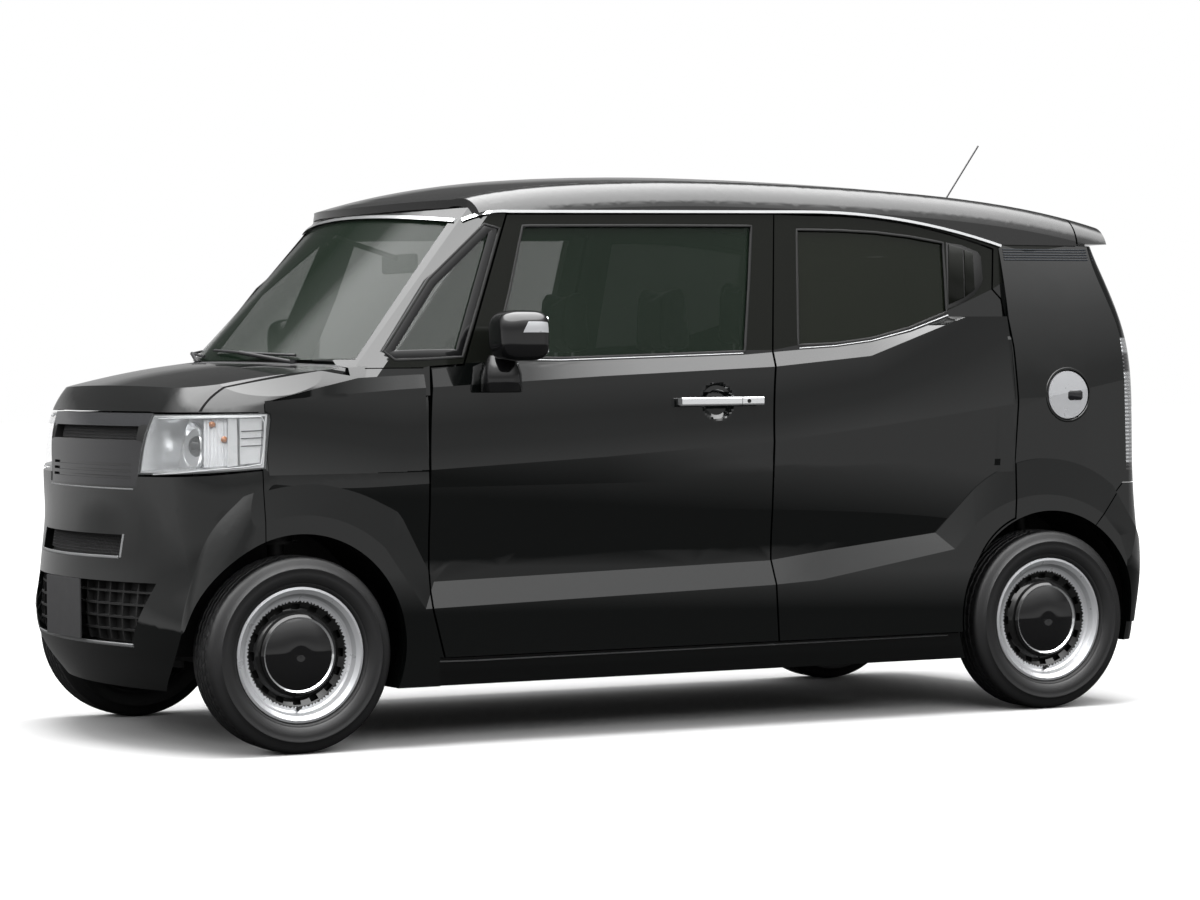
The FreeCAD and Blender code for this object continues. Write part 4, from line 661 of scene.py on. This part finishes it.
def edge_of(node, z, inside, outside):
    """x where a node's outer face ends at a height, searched from a point on it."""
    for _ in range(14):
        middle = 0.5 * (inside + outside)
        found = hit_side(node, middle, z)
        if found and found[0].y > OUTER_FACE_Y and found[1].y > 0.6:
            inside = middle
        else:
            outside = middle
    return inside


def face_y(node, x, z, missing):
    """Half width of a node's outer face, or the missing value where it has none."""
    found = hit_side(node, x, z)
    return found[0].y if found and found[0].y > OUTER_FACE_Y else missing


def row_z(x, i, low, top, counts):
    """Height of a row of the skin at x: rows run along the crease and along the shoulder."""
    crease_z, _, shoulder_z, _, _ = between(SKIN_SECTIONS, x)
    top = max(top, low + 60)
    shoulder_z = min(shoulder_z, top - 12)
    crease_z = min(max(crease_z, low + 8), shoulder_z - 20)
    for a, b, count in zip((low, crease_z, shoulder_z), (crease_z, shoulder_z, top), counts):
        if i <= count:
            return a + (b - a) * i / count
        i -= count
    return top


def pressed(node, start, front, rear, low, top_at, columns, counts):
    """Skin over the left node between its own shut lines."""
    grid = []
    for i in range(sum(counts) + 1):
        ends = []
        for far, shift in ((rear, SKIN_INSET), (front, -SKIN_INSET)):
            x = start
            for _ in range(3):
                x = edge_of(node, row_z(x, i, low, top_at(x), counts), start, far)
            ends.append(x + shift)
        row = []
        for k in range(columns):
            x = ends[0] + (ends[1] - ends[0]) * k / (columns - 1)
            top = top_at(x)
            z = row_z(x, i, low, top, counts)
            low_y = face_y(node, x, low, LOW_EDGE_Y) + SKIN_GAP
            y = skin_y(x, z, low, top, low_y, side_y(top) + 0.7)
            away = math.hypot(x - CUP_X, z - CUP_Z) / CUP_RADIUS
            if node.startswith("front_door") and away < 1:
                y -= CUP_DEEP * (1 - away * away)
            else:
                y = max(y, face_y(node, x, z, 0) + SKIN_GAP)
            row.append(Vector((x, y, z)))
        grid.append(row)
    return slab(grid, Vector((0, -SKIN_THICK, 0)))


def door_top(x):
    return min(between(SKIN_SECTIONS, x)[4], between(WAIST, x)[0] - 4)


def wing_top(x):
    return between(WING_TOP, x)[0]


# name, body, x inside the panel, past its front and its rear, low edge, top edge, columns, rows
SKINS = [
    ("front_door", "front_door_", 300, 900, -400, 738, door_top, 150, (6, 36, 9)),
    ("rear_door", "rear_door_", -600, -250, -1250, 742, door_top, 96, (10, 26, 9)),
    ("front_wing", "car_body", 1000, 1345, 820, 783, wing_top, 44, (4, 22, 8)),
]
for name, body, *span in SKINS:
    make_pair(name + "_skin", pressed(name + "_left", *span), PAINT, body, 7.5)

# -------- panels behind the rear windows
PANELS = {
    "front_louvre": [(-963, 1446), (-1013, 1434), (-1000, 1281), (-941, 1260)],
    "rear_louvre": [(-1018, 1430), (-1049, 1421), (-1042, 1306), (-1005, 1284)],
}
HOLLOW = [(-955, 1452), (-1010, 1444), (-1068, 1424), (-1079, 1408), (-1077, 1338), (-1066, 1318),
          (-1040, 1290), (-1000, 1265), (-936, 1246)]
RIB_X, RIB_Z = (-1160, -1250, -1350, -1440, -1500), (1399, 1407, 1415, 1423, 1431)
SILL = [(820, 240), (725, 238), (20, 240), (-905, 243)]


def window_plane(x, z):
    return side_y(z)


# a flat dark plate paints the shade in the rear door handle's hollow
make_pair("handle_hollow", plate(HOLLOW, window_plane, 0.6, 2, 0.5), SHADE_BLACK, "rear_door_")
for name, outline in PANELS.items():
    make_pair(name, plate(outline, window_plane, 3.4, 2, 2.5), SASH, "rear_door_")
for side, sign in SIDES.items():
    frame_side, inward = ["side_frame_" + side], (0, -sign, 0)
    runs = [laid(frame_side, [(x, sign * 640, z) for x in RIB_X], inward, 30) for z in RIB_Z]
    make("quarter_ribs_" + side, *join([bead(*run, 5, 2) for run in runs]), STRIPED)
    # a pale bead paints the highlight along the sill's top edge
    run = laid(frame_side, [(x, sign * 700, z) for x, z in SILL], inward, 40)
    make("sill_edge_" + side, *bead(*run, 5, 2.4), HIGHLIGHT_EDGE)

# -------- headlamps
LOOK_IN = Vector((-0.5, -0.866, 0))  # from in front and the left, into the left lamp
# edge of a lamp, x, y, z on its lens
LAMP_TOP = [(1562, 440, 943), (1545, 520, 944), (1515, 585, 945), (1460, 640, 946),
            (1400, 675, 946), (1352, 693, 947)]
LAMP_END = [(1352, 693, 947), (1345, 700, 930), (1352, 712, 860), (1364, 716, 815)]
LAMP_LOW = [(1364, 716, 815), (1400, 708, 809), (1460, 676, 803), (1510, 640, 798),
            (1560, 560, 790), (1590, 460, 785), (1600, 400, 782)]
RING_AT = Vector((1472, 478, 862))
# radius, depth behind the ring's face
RING = [(70, 0), (67, 6), (62, 2), (54, -12), (44, -20), (33, -22), (33, -25), (46, -25), (66, -14),
        (70, -6)]
DOME = [(0.4, 14), (12, 12), (22, 6), (29, -4), (32, -16), (32, -22), (0.4, -22)]


def facing(profile, steps, centre):
    """Turns closed (radius, depth) rows about a line along x through the centre."""
    return turned(profile, steps, lambda a, w, b: centre + Vector((w, a, b)))


def behind_lens(top, foot, columns, rows, depth, wave=0, count=1):
    """Grid of points behind the left lens between two lines, ribbed across if asked."""
    grid = []
    for i in range(rows):
        row = []
        for k in range(columns):
            s, t = k / (columns - 1), i / (rows - 1)
            a = Vector(top[0]).lerp(Vector(top[1]), s)
            b = Vector(foot[0]).lerp(Vector(foot[1]), s)
            p = a.lerp(b, t)
            found = hit(["headlamp_lenses"], p - LOOK_IN * 120, LOOK_IN)
            place = found[0] if found and (found[0] - p).length < 70 else p
            ridge = wave * math.sin(2 * math.pi * count * s)
            row.append(place + LOOK_IN * (depth + ridge))
        grid.append(row)
    return slab(grid, LOOK_IN * 2)


def lens_bead(points, depth, wide, high):
    """A bead close behind the left lens."""
    return bead(*laid(["headlamp_lenses"], points, LOOK_IN, 14, -depth, 60), wide, high)


def bulb(place):
    """A small bulb that faces out of the left lamp."""
    middle = Vector(place) + LOOK_IN * 15
    return turned(BULB, 20, lambda a, w, b: middle + Vector((
        a * 0.87 - w * LOOK_IN.x, -a * 0.5 - w * LOOK_IN.y, b)))


BULB = [(0.3, 9), (5, 7.6), (8.4, 3), (9.4, -3), (0.3, -6)]
BULBS_AT = [(1477, 628, 926), (1453, 658, 884)]
END_LINES_Z = (908, 888, 867)
LAMP_PARTS = {
    "ring": (CHROME, facing(RING, 48, RING_AT)),
    "dome": (GLOSS, facing(DOME, 36, RING_AT)),
    "ribs": (CHROME, behind_lens([(1494, 607, 940), (1441, 655, 942)],
                                 [(1507, 636, 806), (1451, 682, 812)], 84, 10, 26, 4.5, 7)),
    "guide": (PALE, behind_lens([(1439, 656, 944), (1417, 667, 944)],
                                [(1452, 681, 808), (1427, 695, 812)], 6, 12, 9)),
    "end_panel": (PALE, behind_lens([(1411, 672, 943), (1352, 693, 943)],
                                    [(1421, 698, 815), (1368, 712, 819)], 8, 12, 10)),
    "bulbs": (AMBER, join([bulb(place) for place in BULBS_AT])),
    "lines": (RUBBER, join([lens_bead([(1409, 682, z), (1349, 703, z + 2)], 8, 3, 1.6)
                            for z in END_LINES_Z])),
    "edge": (PALE, join([lens_bead(run, 3.4, 4, 1.8) for run in (LAMP_TOP, LAMP_END, LAMP_LOW)])),
}
for part, (look, shape) in LAMP_PARTS.items():
    make_pair("headlamp_" + part, shape, look)

# -------- front grilles
def mesh_panel(node, half, low, high, pitch, stand_off, thick=1.5):
    """Fine wire mesh in front of a recess's back face."""
    lines = []
    rows, columns = round((high - low) / pitch), round(2 * half / pitch)
    for i in range(rows + 1):
        z = low + (high - low) * i / rows
        lines.append(([(1640, -half, z), (1660, 0, z), (1640, half, z)], 20))
    for i in range(columns + 1):
        y = -half + 2 * half * i / columns
        lines.append(([(1650, y, low), (1650, y, high)], high - low))
    runs = [laid([node], points, REARWARD, step, stand_off) for points, step in lines]
    return join([bead(*run, thick, thick / 2, False, 4) for run in runs if len(run[0]) > 1])


make("grille_mesh", *mesh_panel("grille", 330, 884, 916, 8, 3), BLACK)
make("bumper_mesh", *mesh_panel("bumper_grilles", 318, 556, 608, 8.7, 5), BLACK)
# the body-coloured lips' highlights are painted in as pale beads along their edges
LIPS = {
    "slot_lip_low": ([(1650, -326, 548), (1680, 0, 547), (1650, 326, 548)], 9, 3),
    "slot_lip_left": ([(1650, 333, 548), (1645, 333, 614)], 8, 3),
    "slot_lip_right": ([(1650, -333, 548), (1645, -333, 614)], 8, 3),
    "intake_lip": ([(1640, -404, 301), (1690, 0, 300), (1640, 404, 301)], 11, 4),
    "grille_lip": ([(1615, -352, 741), (1640, 0, 741), (1615, 352, 741)], 5, 2),
}
for name, (points, wide, high) in LIPS.items():
    make(name, *bead(*laid(["front_bumper"], points, REARWARD), wide, high), HIGHLIGHT_EDGE)

# -------- mirrors, handles, lids
MIRROR_AT = Vector((614, 827, 1168))
MIRROR_HALF = (81, 77.5, 72.5)
MIRROR_POWER = 3.4  # how square the housing is
MIRROR_BACK_X = 553
STRIP_Z = (1176, 1184, 1192, 1200, 1207)
STRIP_REAR_X, STRIP_FRONT_X, STRIP_SLANT = 556, 640, 0.55
PANE = [(-1, -1), (-1, 0.9), (-0.9, 1), (0.9, 1), (1, 0.9), (1, -0.9), (0.9, -1), (-0.9, -1)]
PANE_X, PANE_THICK, PANE_HALF_WIDE, PANE_HALF_HIGH = 551, 3, 58, 53
HANDLE_Z = 972


def mirror_skin(way, lift=0):
    """Point of the rounded-box housing in a direction from its middle; flat behind."""
    reach = sum(abs(w / h) ** MIRROR_POWER for w, h in zip(way, MIRROR_HALF))
    p = MIRROR_AT + Vector(way) * reach ** (-1 / MIRROR_POWER)
    p.x = max(p.x, MIRROR_BACK_X)
    return p + Vector(way).normalized() * lift


def ball_grid(columns, rows):
    """Housing as rings of points from its foot to its top."""
    verts = [mirror_skin((0, 0, -1))]
    for i in range(1, rows):
        polar = math.pi * i / rows
        verts += [mirror_skin((math.sin(polar) * math.cos(2 * math.pi * k / columns),
                               math.sin(polar) * math.sin(2 * math.pi * k / columns),
                               -math.cos(polar))) for k in range(columns)]
    verts.append(mirror_skin((0, 0, 1)))
    last = len(verts) - 1
    faces = [(0, 1 + (k + 1) % columns, 1 + k) for k in range(columns)]
    faces += quads(rows - 1, columns, False, 1)
    faces += [(last, last - columns + k, last - columns + (k + 1) % columns)
              for k in range(columns)]
    return verts, faces


def mirror_strip(count=12):
    """Bright strip on the housing's outer side, shorter towards its top."""
    grid = []
    for z in STRIP_Z:
        front = STRIP_FRONT_X - STRIP_SLANT * (z - STRIP_Z[0])
        grid.append([])
        for k in range(count):
            x = STRIP_REAR_X + (front - STRIP_REAR_X) * k / (count - 1)
            grid[-1].append(mirror_skin((x - MIRROR_AT.x, 74, z - MIRROR_AT.z), 0.6))
    return slab(grid, Vector((0, 1.6, 0)))


def mirror_pane():
    """The reflecting glass in the housing's flat back."""
    verts = [Vector((x, MIRROR_AT.y + PANE_HALF_WIDE * a, MIRROR_AT.z + PANE_HALF_HIGH * b))
             for x in (PANE_X, PANE_X + PANE_THICK) for a, b in PANE]
    return verts, caps(2, 8) + quads(2, 8)


foot = stack([(1006, 3), (1010, 0), (1060, 1), (1088, 8), (1112, 16)], 578, 690, 706, 790, 22)
housings = make_pair("mirror_housing", join([ball_grid(56, 36), foot]), GLOSS, "front_door_", 60)
for side, housing in housings.items():
    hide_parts("door_mirror_" + side)
make_pair("mirror_strip", mirror_strip(), SILVER, "front_door_")
make_pair("mirror_glass", mirror_pane(), MIRROR_GLASS, "front_door_")
lock = bar((-183, 745.5, HANDLE_Z), (-183, 748.1, HANDLE_Z), 6, 20)
make_pair("door_lock", lock, SHADE_BLACK, "front_door_")
split = [Vector((-160, 747.2, HANDLE_Z + rise)) for rise in (-12, 0, 12)]
make_pair("handle_split", bead(split, [Vector((0, 1, 0))] * 3, 1.6, 0.5), RUBBER, "front_door_")

LID_GRIP = [(-1350, 990), (-1392, 990), (-1398, 984), (-1398, 966), (-1392, 960), (-1350, 960),
            (-1343, 966), (-1343, 984)]
LID_X, LID_Z, LID_RING = -1345, 977, 82


def lid_face(x, z):
    return hit_side("fuel_lid", x, z)[0].y


# a dark plate paints the shade of the lid's finger recess
make("fuel_lid_grip_shade", *plate(LID_GRIP, lid_face, 1.4, 1, 1.5), SMOKE, "fuel_lid")
ring = [hit_side("side_frame_left", LID_X + LID_RING * math.cos(a * math.pi / 24),
                 LID_Z + LID_RING * math.sin(a * math.pi / 24)) for a in range(48)]
make("fuel_lid_ring", *bead(*zip(*ring), 8, 2.4, True), PAINT)

# -------- rear end
REAR_GLASS = [(-500, 1400), (-250, 1400), (0, 1400), (250, 1400), (500, 1400), (518, 1230),
              (535, 1060), (250, 1060), (0, 1060), (-250, 1060), (-535, 1060), (-518, 1230)]
# name, look, CAD node it lies on, width, height, y-z points
REAR_LINES = [
    ("gate_garnish", SMOKE, "tailgate", 34, 8, [(-330, 862), (0, 866), (330, 862)]),
    ("stop_lamp", RED, "tailgate", 12, 2.5, [(-130, 1478), (0, 1480), (130, 1478)]),
    ("reflector_left", RED, "rear_bumper", 26, 3, [(500, 452), (610, 456)]),
    ("reflector_right", RED, "rear_bumper", 26, 3, [(-500, 452), (-610, 456)]),
    ("gate_blade", RUBBER, "tailgate_glass", 11, 9, [(-30, 1096), (180, 1090), (390, 1100)]),
    ("gate_arm", BLACK, "tailgate_glass", 15, 16, [(0, 1072), (90, 1084), (190, 1098)]),
]
for name, look, node, wide, high, points in REAR_LINES:
    run = laid([node], [(-1640, y, z) for y, z in points], FORWARD, 20)
    body = "car_body" if node == "rear_bumper" else "tailgate"
    make(name, *bead(*run, wide, high, False, 12), look, body)
edge = [hit(["tailgate"], (-2000, y, z), FORWARD)
        for y, z in flat_run(grown(REAR_GLASS, 5), 25)]
edge = [found for found in edge if found and found[0].x < -1450]
make("gate_glass_seal", *bead(*zip(*edge), 12, 3, True), RUBBER, "tailgate")


# -------- seats
VOXELS = {"pad": 14, "headrest": 10}  # edge of the even mesh that is blown up
PUFFS = {"pad": 20, "headrest": 12}  # how far its points may move
PRESSURE, CLOTH_FRAMES = 4, 20
PIPING_IN = 78  # from a pad's side to its piping
# side of the cushion, from the seat's middle and the cushion's height
CUSHION = [(34, 10), (470, 10), (488, 58), (470, 112), (250, 96), (40, 92)]


def prism(points, y0, y1):
    size = len(points)
    verts = [Vector((x, y, z)) for y in (y0, y1) for x, z in points]
    return verts, [tuple(range(size)), tuple(range(2 * size - 1, size - 1, -1))] + quads(2, size)


def settled(obj):
    """The piece's mesh with its modifiers worked out, and the modifiers gone."""
    graph = bpy.context.evaluated_depsgraph_get()
    mesh = bpy.data.meshes.new_from_object(obj.evaluated_get(graph))
    obj.modifiers.clear()
    obj.data = mesh
    return mesh


def blown(obj, cap):
    """Fills the piece out by simulated air pressure; no point moves further than the cap."""
    start = [v.co.copy() for v in obj.data.vertices]
    cloth = obj.modifiers.new("cloth", "CLOTH")
    cloth.settings.use_pressure = True
    cloth.settings.uniform_pressure_force = PRESSURE
    cloth.settings.effector_weights.gravity = 0
    for step in range(1, CLOTH_FRAMES + 1):
        bpy.context.scene.frame_set(step)
    graph = bpy.context.evaluated_depsgraph_get()
    full = [v.co.copy() for v in obj.evaluated_get(graph).data.vertices]
    obj.modifiers.clear()
    bpy.context.scene.frame_set(1)
    for vertex, before, after in zip(obj.data.vertices, start, full):
        move = after - before
        if move.length > cap * MM:
            move *= cap * MM / move.length
        vertex.co = before + move


def stuffed(name, shape, kind):
    """A padded form: an even mesh, filled out by air, then smoothed."""
    obj = make(name, *shape, CLOTH)
    remesh = obj.modifiers.new("grid", "REMESH")
    remesh.mode = "VOXEL"
    remesh.voxel_size = VOXELS[kind] * MM
    ease = obj.modifiers.new("ease", "SMOOTH")
    ease.iterations = 6
    settled(obj)
    blown(obj, PUFFS[kind])
    finer = obj.modifiers.new("finer", "SUBSURF")
    finer.levels = finer.render_levels = 1
    mesh = settled(obj)
    for face in mesh.polygons:
        face.use_smooth = True
    return obj


def twin(obj, name):
    """The same piece on the other side of the car."""
    mesh = obj.data.copy()
    mesh.transform(Matrix.Scale(-1, 4, (0, 1, 0)))
    mesh.flip_normals()
    other = new_object(name, mesh)
    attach(other, "car_body")
    return other


def seam(pad, start, end, way=REARWARD):
    """Piping sewn along a line on a padded piece."""
    return bead(*laid([pad.name], [start, end], way, 16, 0, 240), 4.6, 2.3, False, 6)


# name, CAD node, x, y of the middle, height of cushion, back and headrest, half width
SEATS = [("front_seat", "front_seats", -72.5, 330, 430, 1096, 1335, 250),
         ("rear_seat", "rear_seat", -712.5, 290, 462, 1120, 1372, 266)]
for name, cad_seat, x, y, low, top, head_top, half in SEATS:
    cushion_side = [(x + ahead, low + rise) for ahead, rise in CUSHION]
    back_side = [(x + 46, low + 60), (x + 58, low + 132), (x + 20, low + 330), (x - 28, top - 22),
                 (x - 60, top - 12), (x - 90, top - 24), (x - 46, low + 70)]
    head_side = [(x - 6, top + 34), (x - 14, head_top - 48), (x - 30, head_top - 18),
                 (x - 56, head_top - 18), (x - 72, head_top - 48), (x - 82, top + 40),
                 (x - 60, top + 28), (x - 26, top + 26)]
    cushion = stuffed(name + "_cushion_left", prism(cushion_side, y - half + 14, y + half - 14),
                      "pad")
    back = stuffed(name + "_back_left", prism(back_side, y - half + 16, y + half - 16), "pad")
    head = stuffed(name + "_headrest_left", prism(head_side, y - 112, y + 112), "headrest")
    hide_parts(cad_seat)
    for piece in (cushion, back, head):
        twin(piece, piece.name.replace("left", "right"))
    inner, outer = half - PIPING_IN, half - 60
    sewn = [seam(back, (x, y - inner, low + 340), (x, y + inner, low + 340)),
            seam(back, (x, y - outer, top - 60), (x, y + outer, top - 60)),
            seam(cushion, (x + 300, y - inner, low), (x + 300, y + inner, low), DOWN)]
    for off in (-inner, inner):
        sewn += [seam(back, (x, y + off, top - 30), (x, y + off, low + 150)),
                 seam(cushion, (x + 90, y + off, low), (x + 460, y + off, low), DOWN)]
    for off in (-PIPING_IN, PIPING_IN):
        sewn.append(seam(head, (x, y + off, top + 50), (x, y + off, head_top - 34)))
    posts = [bar((x - 44, y + off, top - 40), (x - 44, y + off, top + 44), 6) for off in (-60, 60)]
    base = stack([(296, 0), (300, -6), (low - 20, 4), (low + 10, 16)],
                 x + 66, x + 414, y - half + 66, y + half - 66)
    make_pair(name + "_piping", join(sewn), THREAD)
    make_pair(name + "_posts", join(posts), CHROME)
    make_pair(name + "_base", base, TRIM)


# -------- stage, light and camera
FLOOR_HALF, FLOOR_Z = 60, -0.001
SOFT_STRENGTH, MIRRORED_STRENGTH = 0.95, 9
# height of the direction, brightness: on the camera's side, and behind the car
NEAR_SKY = [(0, 0.085), (0.1, 0.055), (0.18, 0.06), (0.35, 0.12), (0.55, 0.25), (0.66, 0.8),
            (0.95, 1)]
FAR_SKY = [(0, 0.045), (0.14, 0.045), (0.2, 0.014), (0.45, 0.012), (0.6, 0.05), (0.68, 0.5),
           (0.95, 1)]
# how far the direction leans to the camera's side or the nose, share of the camera's side
AROUND = [(0, 0), (0.16, 0), (0.34, 0.12), (0.56, 1)]
# brightness of the soft light by height, dimmer near the floor
SOFT = [(0, 0.12), (0.3, 0.5), (0.8, 1)]
YAW, PITCH, ROLL = 0.47978, -0.02336, -0.00874
CAMERA_AT = (5.1952, 10.12, 1.08246)
SENSOR_WIDTH, LENS_LENGTH = 36, 109.15


def grey(level):
    return (level, level, level, 1)


def grey_ramp(owner, factor, stops):
    return add_ramp(owner, factor, [(place, (level,) * 3) for place, level in stops])


def mixed(owner, factor, first, second):
    """A shader that goes from the first to the second as the factor goes from 0 to 1."""
    return add_node(owner, "MixShader", {"Fac": factor, 1: first, 2: second})


def fill_floor(floor):
    """Pale floor: near white to the camera, a dark disc in the paint's reflections."""
    away = add_node(floor, "VectorMath", {0: add_node(floor, "NewGeometry", None, "Position")},
                    "Value", operation="LENGTH")
    lit = add_node(floor, "BsdfDiffuse", {"Color": grey(0.92)})
    glow = add_node(floor, "Emission", {"Strength": spread(floor, away, 2.2, 7, 0.6)})
    seen = add_node(floor, "AddShader", {0: lit, 1: glow})
    dark = add_node(floor, "BsdfDiffuse", {"Color": grey(0.06)})
    disc = mixed(floor, spread(floor, away, 6, 9), dark, add_node(floor, "BsdfTransparent"))
    to_camera = add_node(floor, "LightPath", None, "Is Camera Ray")
    add_node(floor, "OutputMaterial", {"Surface": mixed(floor, to_camera, disc, seen)})


def fill_world(world):
    """White to the camera, soft light for the rest, and a studio's sky in what is glossy."""
    direction = add_node(world, "TexCoord", None, "Generated")
    rise = add_node(world, "SeparateXYZ", {"Vector": direction}, "Z")
    lean = add_node(world, "VectorMath", {0: direction, 1: (0.8, 1, 0)}, "Value",
                    operation="DOT_PRODUCT")
    around = grey_ramp(world, spread(world, lean, -1.3, 1.3), AROUND)
    sky = add_node(world, "Mix", {"Factor": around, 6: grey_ramp(world, rise, FAR_SKY),
                                  7: grey_ramp(world, rise, NEAR_SKY)}, 2, data_type="RGBA")
    white = add_node(world, "Background", {"Color": grey(1)})
    soft = add_node(world, "Background", {"Color": grey_ramp(world, rise, SOFT),
                                          "Strength": SOFT_STRENGTH})
    mirrored = add_node(world, "Background", {"Color": sky, "Strength": MIRRORED_STRENGTH})
    path = add_node(world, "LightPath").node.outputs
    unseen = mixed(world, path["Is Glossy Ray"], soft, mirrored)
    add_node(world, "OutputWorld", {"Surface": mixed(world, path["Is Camera Ray"], unseen, white)})


def area_light(name, place, target, size, size_y, power):
    """A lamp that lights but isn't mirrored."""
    lamp = bpy.data.lights.new(name, "AREA")
    lamp.shape = "RECTANGLE"
    lamp.size, lamp.size_y, lamp.energy = size, size_y, power
    obj = new_object(name, lamp)
    obj.location = place
    obj.rotation_euler = (Vector(target) - Vector(place)).to_track_quat("-Z", "Y").to_euler()
    obj.visible_glossy = False


def aim_camera():
    """A camera at its place, turned by yaw and pitch, then rolled about its own axis."""
    forward = Vector((-math.sin(YAW) * math.cos(PITCH), -math.cos(YAW) * math.cos(PITCH),
                      math.sin(PITCH)))
    level = forward.cross(Vector((0, 0, 1))).normalized()
    upright = level.cross(forward)
    right = level * math.cos(ROLL) + upright * math.sin(ROLL)
    up = upright * math.cos(ROLL) - level * math.sin(ROLL)
    data = bpy.data.cameras.new("camera")
    data.sensor_width = SENSOR_WIDTH
    data.lens = LENS_LENGTH
    data.clip_end = 200
    camera = new_object("camera", data)
    camera.matrix_world = Matrix.Translation(CAMERA_AT) @ Matrix(
        (right, up, -forward)).transposed().to_4x4()
    bpy.context.scene.camera = camera


floor_look = bpy.data.materials.new("stage_floor")
world = bpy.data.worlds.new("studio")
bpy.context.scene.world = world
for lit, fill in ((floor_look, fill_floor), (world, fill_world)):
    lit.use_nodes = True
    lit.node_tree.nodes.clear()
    fill(lit)
floor_mesh = bpy.data.meshes.new("stage_floor")
floor_mesh.from_pydata([(FLOOR_HALF * a, FLOOR_HALF * b, FLOOR_Z)
                        for a, b in ((-1, -1), (1, -1), (1, 1), (-1, 1))], [], [(0, 1, 2, 3)])
floor_mesh.materials.append(floor_look)
new_object("stage_floor", floor_mesh)

area_light("overhead", (0, 0.5, 7), (0, 0, 0.5), 9, 6, 700)
area_light("side_fill", (1, 9, 4.5), (0, 0, 0.8), 8, 3, 260)
area_light("front_fill", (9, 2, 4), (0, 0, 0.8), 5, 3, 160)
aim_camera()
bpy.context.scene.view_settings.view_transform = "Standard"
